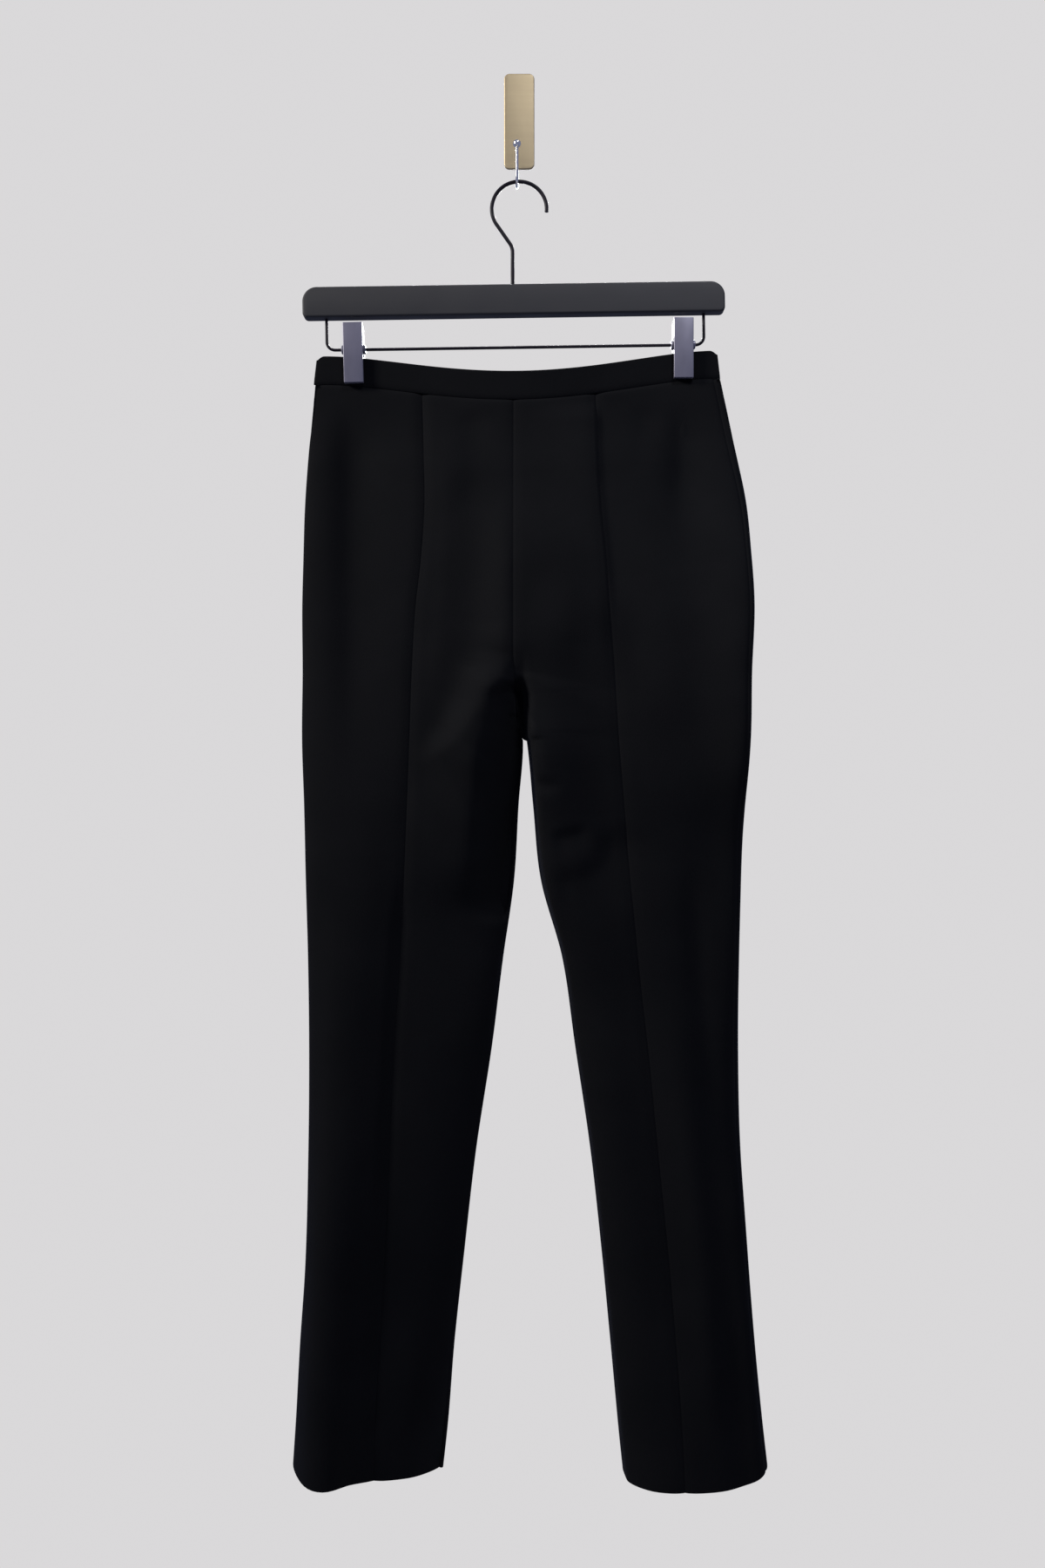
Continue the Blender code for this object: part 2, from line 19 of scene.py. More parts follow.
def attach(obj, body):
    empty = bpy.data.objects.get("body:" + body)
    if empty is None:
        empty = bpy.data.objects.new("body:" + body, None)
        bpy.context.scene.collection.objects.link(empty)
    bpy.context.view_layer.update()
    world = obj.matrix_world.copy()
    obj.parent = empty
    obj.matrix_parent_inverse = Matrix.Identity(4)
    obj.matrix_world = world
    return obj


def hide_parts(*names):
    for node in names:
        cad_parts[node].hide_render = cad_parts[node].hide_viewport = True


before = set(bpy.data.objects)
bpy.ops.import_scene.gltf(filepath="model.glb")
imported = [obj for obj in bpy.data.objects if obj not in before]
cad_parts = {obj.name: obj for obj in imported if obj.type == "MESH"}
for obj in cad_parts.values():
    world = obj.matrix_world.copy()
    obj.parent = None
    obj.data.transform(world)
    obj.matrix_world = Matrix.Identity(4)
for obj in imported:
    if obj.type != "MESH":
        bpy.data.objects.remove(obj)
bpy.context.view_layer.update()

MM = 0.001
SEAM_GAP = 0.3 * MM
CLOTH_THICK = 1.4 * MM
HANG_Y = -24.0 * MM
BODY = "root"
UV_NAME = "cloth"
# A direction counts as square to an axis above this cosine.
SQUARE = 0.999
# Edges that turn by more than this many degrees stay sharp on hard pieces.
HARD_SHARP = 30.0

log = logging.getLogger("trousers")


class Side(Enum):
    """Which half of the object a piece belongs to, as the viewer sees it."""

    LEFT = "left"
    RIGHT = "right"


# ---------------------------------------------------------------- small maths

def clamp01(value: float) -> float:
    """Return the value held between 0 and 1."""
    return min(1.0, max(0.0, value))


def ease(value: float) -> float:
    """Return a smooth step from 0 to 1."""
    share = clamp01(value)
    return share * share * (3 - 2 * share)


def bell(distance: float, width: float) -> float:
    """Return a soft bump that is 1 at no distance and fades beyond the width."""
    return math.exp(-((distance / width) ** 2))


def fillet(
    corner: Vector, before: Vector, after: Vector, radius: float, steps: int
) -> list[Vector]:
    """Round a corner of a flat path.

    Args:
        corner: the corner point.
        before: direction from the corner back along the path.
        after: direction from the corner on along the path.
        radius: radius of the arc.
        steps: number of arc steps.

    Returns:
        The points of the arc, in path order.
    """
    towards = before.normalized()
    away = after.normalized()
    half = towards.angle(away) / 2
    centre = corner + (towards + away).normalized() * (radius / math.sin(half))
    start = corner + towards * (radius / math.tan(half)) - centre
    end = corner + away * (radius / math.tan(half)) - centre
    sweep = start.angle(end)
    points = []
    for step in range(steps + 1):
        share = step / steps
        blend = start * math.sin((1 - share) * sweep) + end * math.sin(share * sweep)
        points.append(centre + blend / math.sin(sweep))
    return points


# ---------------------------------------------------------------- material nodes

class Recipe:
    """The node tree of one material, built up node by node."""

    NOISE_LOW = 0.3
    NOISE_HIGH = 0.7

    def __init__(self, name: str) -> None:
        """Start a material with its Principled shader.

        Args:
            name: the material's name.
        """
        self.material = bpy.data.materials.new(name)
        self.material.use_nodes = True
        self.tree = self.material.node_tree
        self.shader = self.tree.nodes["Principled BSDF"]

    def node(self, kind: str, inputs: dict | None = None, **settings: object) -> bpy.types.Node:
        """Add a node.

        Args:
            kind: the node's type, without its "ShaderNode" prefix.
            inputs: values or output sockets, by input name or number.
            settings: properties of the node itself.

        Returns:
            The new node.
        """
        made = self.tree.nodes.new("ShaderNode" + kind)
        for key, value in settings.items():
            setattr(made, key, value)
        for key, value in (inputs or {}).items():
            self.feed(made.inputs[key], value)
        return made

    def feed(self, socket: bpy.types.NodeSocket, value: object) -> None:
        """Link an output to a socket, or set the socket to a value.

        Args:
            socket: the input to feed.
            value: an output socket, or a plain value.
        """
        if isinstance(value, bpy.types.NodeSocket):
            self.tree.links.new(value, socket)
        else:
            socket.default_value = value

    def place(
        self, source: bpy.types.NodeSocket, scale: tuple[float, float, float]
    ) -> bpy.types.NodeSocket:
        """Return coordinates scaled by a factor along each axis."""
        return self.node("Mapping", {"Vector": source, "Scale": scale}).outputs["Vector"]

    def noise(
        self, where: bpy.types.NodeSocket, scale: float, detail: float = 2.0
    ) -> bpy.types.NodeSocket:
        """Return a noise value at a scale in repeats per metre."""
        made = self.node("TexNoise", {"Vector": where, "Scale": scale, "Detail": detail})
        return made.outputs["Fac"]

    def spread(self, value: bpy.types.NodeSocket, low: float, high: float) -> bpy.types.NodeSocket:
        """Return noise stretched so that its usual range runs from low to high."""
        made = self.node(
            "MapRange",
            {
                "Value": value, "From Min": self.NOISE_LOW, "From Max": self.NOISE_HIGH,
                "To Min": low, "To Max": high,
            },
        )
        return made.outputs["Result"]

    def maths(self, operation: str, first: object, second: object) -> bpy.types.NodeSocket:
        """Return the result of one sum on two values."""
        return self.node("Math", {0: first, 1: second}, operation=operation).outputs[0]

    def mix(self, share: object, first: tuple, second: tuple) -> bpy.types.NodeSocket:
        """Return a blend of two colours by share."""
        made = self.node("Mix", {0: share, 6: (*first, 1.0), 7: (*second, 1.0)}, data_type="RGBA")
        return made.outputs[2]

    def bump(self, height: bpy.types.NodeSocket, depth: float, strength: float = 1.0) -> None:
        """Give the shader a bump of that depth in metres."""
        made = self.node("Bump", {"Height": height, "Distance": depth, "Strength": strength})
        self.feed(self.shader.inputs["Normal"], made.outputs["Normal"])

    def set(self, **values: object) -> None:
        """Set or link shader inputs, named with underscores for spaces."""
        for key, value in values.items():
            self.feed(self.shader.inputs[key.replace("_", " ")], value)


@dataclass(frozen=True)
class Finish:
    """What every finish has: a name and the two colours between which it drifts."""

    name: str
    dark: tuple[float, float, float]
    light: tuple[float, float, float]

    def colour(self, recipe: Recipe, share: bpy.types.NodeSocket) -> bpy.types.NodeSocket:
        """Return the drift from the dark colour to the light one, by a share."""
        return recipe.mix(share, self.dark, self.light)


@dataclass(frozen=True)
class CrepeCloth(Finish):
    """Smooth black crepe knit: fine wales, a dry bloom and slightly uneven dye."""

    roughness: tuple[float, float] = (0.75, 0.89)
    specular: float = 0.03
    sheen: float = 0.01
    sheen_roughness: float = 0.45
    sheen_tint: tuple[float, float, float] = (0.80, 0.84, 1.0)
    wale: float = 0.62 * MM
    course: float = 0.48 * MM
    relief: float = 0.05 * MM
    wobble: tuple[float, float] = (0.6, 0.9)
    fuzz: float = 0.8
    dye_scale: float = 16.0
    dye_share: float = 0.55
    fibre_scale: float = 1400.0
    fibre_share: float = 0.45
    fibre_stretch: float = 0.35

    def material(self) -> bpy.types.Material:
        """Build the cloth's material on the piece's own UV map, which is in metres.

        Returns:
            The new material.
        """
        recipe = Recipe(self.name)
        uv = recipe.node("UVMap", uv_map=UV_NAME).outputs["UV"]
        dye = recipe.noise(uv, self.dye_scale, 3.0)
        along = recipe.place(uv, (1.0, self.fibre_stretch, 1.0))
        fibre = recipe.noise(along, self.fibre_scale, 3.0)
        tone = recipe.maths(
            "ADD", recipe.spread(dye, 0.0, self.dye_share),
            recipe.spread(fibre, 0.0, self.fibre_share),
        )
        recipe.set(
            Base_Color=self.colour(recipe, tone),
            Roughness=recipe.spread(fibre, *self.roughness),
            Specular_IOR_Level=self.specular,
            Sheen_Weight=self.sheen,
            Sheen_Roughness=self.sheen_roughness,
            Sheen_Tint=(*self.sheen_tint, 1.0),
        )
        recipe.bump(self.knit_height(recipe, uv, fibre), self.relief)
        return recipe.material

    def knit_height(
        self, recipe: Recipe, uv: bpy.types.NodeSocket, fibre: bpy.types.NodeSocket
    ) -> bpy.types.NodeSocket:
        """Work out the height of the knit: wales crossed by courses, roughened by fibres.

        Args:
            recipe: the material's recipe.
            uv: place on the flat cloth.
            fibre: the fibres' noise.

        Returns:
            The height, from 0 up.
        """
        metre_band = 0.1 * math.pi
        waves = []
        for pitch, wobble, axis in zip((self.wale, self.course), self.wobble, "XY"):
            wave = recipe.node(
                "TexWave", {"Vector": uv, "Scale": metre_band / pitch, "Distortion": wobble},
                bands_direction=axis,
            )
            waves.append(wave.outputs["Fac"])
        knit = recipe.maths("MULTIPLY", *waves)
        return recipe.maths("ADD", knit, recipe.spread(fibre, 0.0, self.fuzz))


@dataclass(frozen=True)
class SatinPaint(Finish):
    """Charcoal satin paint on wood: faint grain below it and slightly uneven gloss."""

    roughness: tuple[float, float] = (0.57, 0.68)
    specular: float = 0.2
    grain: float = 0.03 * MM
    grain_scale: float = 900.0
    grain_stretch: float = 0.05
    cloud_scale: float = 38.0
    peel_scale: float = 1300.0
    peel_share: float = 0.35

    def material(self) -> bpy.types.Material:
        """Build the paint's material, with its grain along the object's X axis.

        Returns:
            The new material.
        """
        recipe = Recipe(self.name)
        where = recipe.node("TexCoord").outputs["Object"]
        along = recipe.place(where, (self.grain_stretch, 1.0, 1.0))
        streaks = recipe.noise(along, self.grain_scale, 3.0)
        cloud = recipe.noise(where, self.cloud_scale, 2.0)
        peel = recipe.noise(where, self.peel_scale, 1.0)
        recipe.set(
            Base_Color=self.colour(recipe, recipe.spread(cloud, 0.0, 1.0)),
            Roughness=recipe.spread(cloud, *self.roughness),
            Specular_IOR_Level=self.specular,
        )
        height = recipe.maths("ADD", streaks, recipe.maths("MULTIPLY", peel, self.peel_share))
        recipe.bump(height, self.grain)
        return recipe.material


@dataclass(frozen=True)
class WireCoat(Finish):
    """Thin black coating on bent wire, rubbed a little glossier in places."""

    roughness: tuple[float, float] = (0.37, 0.53)
    specular: float = 0.12
    rub_scale: float = 60.0
    grit_scale: float = 2600.0
    grit: float = 0.02 * MM
    grit_strength: float = 0.6

    def material(self) -> bpy.types.Material:
        """Build the coating's material.

        Returns:
            The new material.
        """
        recipe = Recipe(self.name)
        where = recipe.node("TexCoord").outputs["Object"]
        rub = recipe.noise(where, self.rub_scale, 3.0)
        recipe.set(
            Base_Color=self.colour(recipe, recipe.spread(rub, 0.0, 1.0)),
            Roughness=recipe.spread(rub, *self.roughness),
            Specular_IOR_Level=self.specular,
        )
        recipe.bump(recipe.noise(where, self.grit_scale, 1.0), self.grit, self.grit_strength)
        return recipe.material


@dataclass(frozen=True)
class ClipPlastic(Finish):
    """Satin metallic-grey moulded plastic with a fine spark texture."""

    roughness: tuple[float, float] = (0.34, 0.43)
    metallic: float = 0.35
    flow_scale: float = 70.0
    flow_stretch: float = 0.4
    spark_scale: float = 3200.0
    spark: float = 0.015 * MM
    spark_strength: float = 0.7

    def material(self) -> bpy.types.Material:
        """Build the plastic's material.

        Returns:
            The new material.
        """
        recipe = Recipe(self.name)
        where = recipe.node("TexCoord").outputs["Object"]
        flow = recipe.noise(recipe.place(where, (1.0, 1.0, self.flow_stretch)), self.flow_scale)
        recipe.set(
            Base_Color=self.colour(recipe, recipe.spread(flow, 0.0, 1.0)),
            Roughness=recipe.spread(flow, *self.roughness),
            Metallic=self.metallic,
        )
        recipe.bump(recipe.noise(where, self.spark_scale), self.spark, self.spark_strength)
        return recipe.material


@dataclass(frozen=True)
class BrushedMetal(Finish):
    """Nickel with hair-thin scratches, drawn out along the object's X axis by the stretch."""

    roughness: tuple[float, float]
    scratch: float
    stretch: float
    metallic: float
    hair_scale: float = 2400.0
    band_scale: float = 260.0

    def material(self) -> bpy.types.Material:
        """Build the metal's material.

        Returns:
            The new material.
        """
        recipe = Recipe(self.name)
        where = recipe.node("TexCoord").outputs["Object"]
        along = recipe.place(where, (self.stretch, 1.0, 1.0))
        hair = recipe.noise(along, self.hair_scale, 3.0)
        bands = recipe.noise(along, self.band_scale, 2.0)
        tone = recipe.maths(
            "ADD", recipe.spread(hair, 0.0, 0.5), recipe.spread(bands, 0.0, 0.5)
        )
        recipe.set(
            Base_Color=self.colour(recipe, tone),
            Roughness=recipe.spread(hair, *self.roughness),
            Metallic=self.metallic,
        )
        recipe.bump(hair, self.scratch)
        return recipe.material


@dataclass(frozen=True)
class PalePlaster(Finish):
    """Matt pale floor with a very faint mottle."""

    roughness: float = 0.9
    mottle_scale: float = 3.0

    def material(self) -> bpy.types.Material:
        """Build the floor's material.

        Returns:
            The new material.
        """
        recipe = Recipe(self.name)
        where = recipe.node("TexCoord").outputs["Object"]
        mottle = recipe.spread(recipe.noise(where, self.mottle_scale, 4.0), 0.0, 1.0)
        recipe.set(Base_Color=self.colour(recipe, mottle), Roughness=self.roughness)
        return recipe.material


TROUSER_CREPE = CrepeCloth("black_crepe", (0.0024, 0.0025, 0.0029), (0.0038, 0.0038, 0.0043))
# The waistband's crepe is the trousers' crepe with its grain turned across. Its colours are set
# darker as painted shade, so the band reads less lit than the legs.
SHADED_BAND_CREPE = CrepeCloth(
    "black_band_crepe_painted_shade", (0.0021, 0.0022, 0.0026), (0.0033, 0.0033, 0.0038),
    wale=0.48 * MM, course=0.62 * MM,
)
BAR_PAINT = SatinPaint("charcoal_paint", (0.020, 0.0195, 0.020), (0.022, 0.0215, 0.022))
WIRE_COAT = WireCoat("black_wire_coat", (0.0050, 0.0035, 0.0055), (0.0075, 0.0055, 0.0085))
CLIP_GREY = ClipPlastic("clip_grey", (0.105, 0.100, 0.125), (0.125, 0.118, 0.150))
PLATE_METAL = BrushedMetal(
    "brushed_warm_nickel", (0.33, 0.26, 0.15), (0.37, 0.295, 0.17),
    roughness=(0.42, 0.58), scratch=0.006 * MM, stretch=0.03, metallic=0.7,
)
HOOK_METAL = BrushedMetal(
    "bright_nickel_wire", (0.70, 0.67, 0.61), (0.80, 0.77, 0.71),
    roughness=(0.14, 0.30), scratch=0.003 * MM, stretch=1.0, metallic=1.0,
)
FLOOR_PLASTER = PalePlaster("pale_floor", (0.84, 0.79, 0.69), (0.90, 0.85, 0.75))


# ---------------------------------------------------------------- pieces in the scene

WIRE_ROUNDNESS = 6
MERGE_REACH = 0.002 * MM


def show(
    piece: bpy.types.Object, finish: bpy.types.Material, slot: str, *nodes: str
) -> bpy.types.Object:
    """Dress a finished piece and join it to the frame.

    Args:
        piece: the piece, with its place in its mesh.
        finish: its material.
        slot: a material slot's name; it is not used.
        nodes: the CAD nodes that it stands for.

    Returns:
        The same piece.
    """
    piece.data.materials.clear()
    piece.data.materials.append(finish)
    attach(piece, BODY)
    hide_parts(*nodes)
    log.info("%s stands for %s", piece.name, ", ".join(nodes))
    return piece


def mesh_piece(name: str, bm: bmesh.types.BMesh, sharp: float = 40.0) -> bpy.types.Object:
    """Return a smooth-shaded object made from a bmesh, which is used up.

    Args:
        name: the object's name.
        bm: the finished bmesh, in place.
        sharp: edges that turn by more than this many degrees stay sharp.

    Returns:
        The object, linked to the scene.
    """
    mesh = bpy.data.meshes.new(name)
    bm.to_mesh(mesh)
    bm.free()
    mesh.shade_smooth()
    mesh.set_sharp_from_angle(angle=math.radians(sharp))
    piece = bpy.data.objects.new(name, mesh)
    bpy.context.scene.collection.objects.link(piece)
    return piece


def wire_piece(
    name: str, points: list[Vector], radii: list[float], place: Matrix
) -> bpy.types.Object:
    """Return a round wire with closed ends.

    Args:
        name: the object's name.
        points: the points of its centre line.
        radii: the wire's radius at each point.
        place: where the line's own frame lies.

    Returns:
        The wire as a mesh object at the origin.
    """
    curve = bpy.data.curves.new(name, "CURVE")
    curve.dimensions = "3D"
    curve.bevel_depth = 1.0
    curve.bevel_resolution = WIRE_ROUNDNESS
    curve.use_fill_caps = True
    spline = curve.splines.new("POLY")
    spline.points.add(len(points) - 1)
    for target, point, radius in zip(spline.points, points, radii):
        target.co = (*point, 1.0)
        target.radius = radius
    drawn = bpy.data.objects.new(name + "_line", curve)
    bpy.context.scene.collection.objects.link(drawn)
    graph = bpy.context.evaluated_depsgraph_get()
    bm = bmesh.new()
    bm.from_mesh(bpy.data.meshes.new_from_object(drawn.evaluated_get(graph)))
    bpy.data.objects.remove(drawn, do_unlink=True)
    bmesh.ops.remove_doubles(bm, verts=bm.verts, dist=MERGE_REACH)
    bmesh.ops.transform(bm, matrix=place, verts=bm.verts)
    bmesh.ops.recalc_face_normals(bm, faces=bm.faces)
    return mesh_piece(name, bm)


def bevel(
    bm: bmesh.types.BMesh, edges: list[bmesh.types.BMEdge], offset: float, segments: int
) -> None:
    """Round some edges of a bmesh."""
    bmesh.ops.bevel(
        bm, geom=edges, offset=offset, offset_type="OFFSET", segments=segments, profile=0.5,
        affect="EDGES", material=-1,
    )


def slab(width: float, depth: float, height: float) -> bmesh.types.BMesh:
    """Make a box about the origin.

    Args:
        width: its size along X.
        depth: its size along Y.
        height: its size along Z.

    Returns:
        The box as a bmesh.
    """
    bm = bmesh.new()
    bmesh.ops.create_cube(bm, size=1.0)
    bmesh.ops.scale(bm, vec=(width, depth, height), verts=bm.verts)
    return bm


def edges_along(bm: bmesh.types.BMesh, axis: int) -> list[bmesh.types.BMEdge]:
    """Find the edges that run along one axis only.

    Args:
        bm: the bmesh to search.
        axis: 0 for X, 1 for Y or 2 for Z.

    Returns:
        The edges found.
    """
    found = []
    for edge in bm.edges:
        run = edge.verts[1].co - edge.verts[0].co
        if abs(run[axis]) > SQUARE * run.length:
            found.append(edge)
    return found


def rim_edges(bm: bmesh.types.BMesh, axis: int) -> list[bmesh.types.BMEdge]:
    """Find the edges between an end face square to an axis and the side walls.

    Args:
        bm: the bmesh to search, with its normals up to date.
        axis: 0 for X, 1 for Y or 2 for Z.

    Returns:
        The edges found.
    """
    found = []
    for edge in bm.edges:
        facing = [abs(face.normal[axis]) > SQUARE for face in edge.link_faces]
        if facing.count(True) == 1:
            found.append(edge)
    return found


# ---------------------------------------------------------------- wall hook

@dataclass
class WallHook:
    """A brushed plate on the wall and the bright wire hook below it."""

    width: float = 28.0 * MM
    height: float = 88.0 * MM
    thick: float = 3.0 * MM
    corner: float = 5.0 * MM
    edge: float = 0.9 * MM
    wire: float = 1.35 * MM
    x: float = -2.0 * MM
    tip_depth: float = -35.5 * MM
    tip_level: float = -36.5 * MM
    ball: float = 3.5 * MM
    trough_radius: float = 6.5 * MM
    trough_half: float = 5.85 * MM
    trough_floor: float = -68.75 * MM
    root_depth: float = -1.65 * MM
    root_drop: float = 4.0 * MM
    root_bend: float = 5.0 * MM
    ball_turn: float = math.pi * 0.97
    ball_steps: int = 14
    bend_steps: int = 10
    trough_steps: int = 16
    edge_steps: int = 4

    def build(self) -> None:
        """Build the plate and the hook."""
        self.build_plate()
        self.build_hook()

    def build_plate(self) -> None:
        """Build the plate: a slab with round corners and a softened front rim."""
        bm = slab(self.width, self.thick, self.height)
        bevel(bm, edges_along(bm, 1), self.corner, self.bend_steps)
        bevel(bm, rim_edges(bm, 1), self.edge, self.edge_steps)
        bmesh.ops.translate(bm, vec=(0, -self.thick / 2, 0), verts=bm.verts)
        plate = mesh_piece("plate", bm, HARD_SHARP)
        show(plate, PLATE_METAL.material(), "brushed_plate", "wall_plate")

    def path(self) -> list[Vector]:
        """Draw the wire's centre line.

        Returns:
            Its points from the plate's foot to the ball's centre.
        """
        root = Vector((self.root_depth, -self.height / 2 - SEAM_GAP))
        below = root + Vector((0, -self.root_drop))
        back = Vector((HANG_Y + self.trough_half, self.trough_floor))
        front = Vector((HANG_Y - self.trough_half, self.trough_floor))
        tip = Vector((self.tip_depth, self.tip_level))
        flat = [root]
        flat += fillet(below, root - below, back - below, self.root_bend, self.bend_steps)
        flat += fillet(back, below - back, front - back, self.trough_radius, self.trough_steps)
        flat += fillet(front, back - front, tip - front, self.trough_radius, self.trough_steps)
        flat.append(tip)
        return [Vector((self.x, depth, level)) for depth, level in flat]

    def build_hook(self) -> None:
        """Build the hook: the wire's last stretch swells into the ball."""
        points = self.path()
        tip = points.pop()
        radii = [self.wire] * len(points)
        heading = (tip - points[-1]).normalized()
        start = math.asin(self.wire / self.ball)
        for step in range(self.ball_steps + 1):
            angle = start + (self.ball_turn - start) * step / self.ball_steps
            points.append(tip - heading * self.ball * math.cos(angle))
            radii.append(self.ball * math.sin(angle))
        hook = wire_piece("hook_wire", points, radii, Matrix.Identity(4))
        show(hook, HOOK_METAL.material(), "polished_wire", "wall_hook")


# ---------------------------------------------------------------- hanger

@dataclass
class ClipHanger:
    """Flat bar with a black wire hook above it, and a rod with two clips below it."""

    loop_level: float = -90.3 * MM
    loop_radius: float = 24.9 * MM
    loop_wire: float = 1.7 * MM
    loop_tip: float = math.radians(-6.0)
    loop_leave: float = math.radians(215.0)
    loop_steps: int = 72
    stem_bend: float = 14.0 * MM
    stem_x: float = -6.0 * MM
    stem_steps: int = 14
    bar_x: float = -5.0 * MM
    bar_level: float = -173.9 * MM
    bar_length: float = 382.0 * MM
    bar_height: float = 27.5 * MM
    bar_thick: float = 13.0 * MM
    bar_top_corner: float = 13.0 * MM
    bar_foot_corner: float = 4.5 * MM
    bar_edge: float = 2.0 * MM
    bar_steps: tuple[int, int, int] = (14, 8, 5)
    tilt: float = math.radians(0.84)
    rod_wire: float = 1.35 * MM
    rod_left: float = -170.0 * MM
    rod_right: float = 172.0 * MM
    rod_drop: float = 42.0 * MM
    rod_corner: float = 7.5 * MM
    rod_steps: int = 12
    clip_drop: float = 19.0 * MM
    left_clip: float = -146.0 * MM
    right_clip: float = 153.3 * MM
    left_tilt: float = math.radians(0.75)
    right_tilt: float = math.radians(-0.84)

    def frame(self) -> Matrix:
        """Return the tilted frame of the bar, in which the rod and clips lie too."""
        middle = Matrix.Translation((self.bar_x, HANG_Y, self.bar_level))
        return middle @ Matrix.Rotation(-self.tilt, 4, "Y")

    def build(self) -> None:
        """Build the hook, bar, rod and both clips."""
        self.build_loop()
        self.build_bar()
        self.build_rod()
        grey = CLIP_GREY.material()
        for side, along, lean in (
            (Side.LEFT, self.left_clip, self.left_tilt),
            (Side.RIGHT, self.right_clip, self.right_tilt),
        ):
            place = Matrix.Translation((along, 0, -self.clip_drop))
            place @= Matrix.Rotation(-lean, 4, "Y")
            shift = along + math.sin(lean) * (self.rod_drop - self.clip_drop)
            sleeve = Matrix.Translation((shift, 0, -self.rod_drop))
            Clip(side).build(self.frame() @ place, self.frame() @ sleeve, self.rod_wire, grey)

    def build_loop(self) -> None:
        """Build the round hook, square-cut at its tip, and the stem down to the bar."""
        sweep = self.loop_leave - self.loop_tip
        flat = []
        for step in range(self.loop_steps + 1):
            angle = self.loop_tip + sweep * step / self.loop_steps
            flat.append(Vector((math.cos(angle), math.sin(angle))) * self.loop_radius)
        leave = flat[-1]
        heading = Vector((-math.sin(self.loop_leave), math.cos(self.loop_leave)))
        bend = leave + heading * ((self.stem_x - leave.x) / heading.x)
        stem_foot = self.bar_level + self.bar_height / 2 + SEAM_GAP - self.loop_level
        foot = Vector((bend.x, stem_foot))
        flat += fillet(bend, leave - bend, foot - bend, self.stem_bend, self.stem_steps)
        flat.append(foot)
        points = [Vector((across, 0, up)) for across, up in flat]
        place = Matrix.Translation((0, HANG_Y, self.loop_level))
        loop = wire_piece("hanger_loop", points, [self.loop_wire] * len(points), place)
        show(loop, WIRE_COAT.material(), "black_wire", "hanger_hook")

    def build_bar(self) -> None:
        """Build the bar: large top corners, small foot corners and softened rims."""
        top_steps, foot_steps, rim_steps = self.bar_steps
        bm = slab(self.bar_length, self.bar_thick, self.bar_height)
        top = [edge for edge in edges_along(bm, 1) if edge.verts[0].co.z > 0]
        bevel(bm, top, self.bar_top_corner, top_steps)
        foot = [edge for edge in edges_along(bm, 1) if edge.verts[0].co.z < 0]
        bevel(bm, foot, self.bar_foot_corner, foot_steps)
        bevel(bm, rim_edges(bm, 1), self.bar_edge, rim_steps)
        bmesh.ops.transform(bm, matrix=self.frame(), verts=bm.verts)
        bar = mesh_piece("bar", bm, HARD_SHARP)
        show(bar, BAR_PAINT.material(), "charcoal_bar", "hanger_bar")

    def build_rod(self) -> None:
        """Build the thin wire rod, turned up at both ends into the bar's foot."""
        top = -self.bar_height / 2 - SEAM_GAP
        left = Vector((self.rod_left, -self.rod_drop))
        right = Vector((self.rod_right, -self.rod_drop))
        left_top = Vector((self.rod_left, top))
        right_top = Vector((self.rod_right, top))
        flat = [left_top]
        flat += fillet(left, left_top - left, right - left, self.rod_corner, self.rod_steps)
        flat += fillet(right, left - right, right_top - right, self.rod_corner, self.rod_steps)
        flat.append(right_top)
        points = [Vector((across, 0, up)) for across, up in flat]
        rod = wire_piece("rod", points, [self.rod_wire] * len(points), self.frame())
        show(rod, WIRE_COAT.material(), "black_wire", "clip_rod")


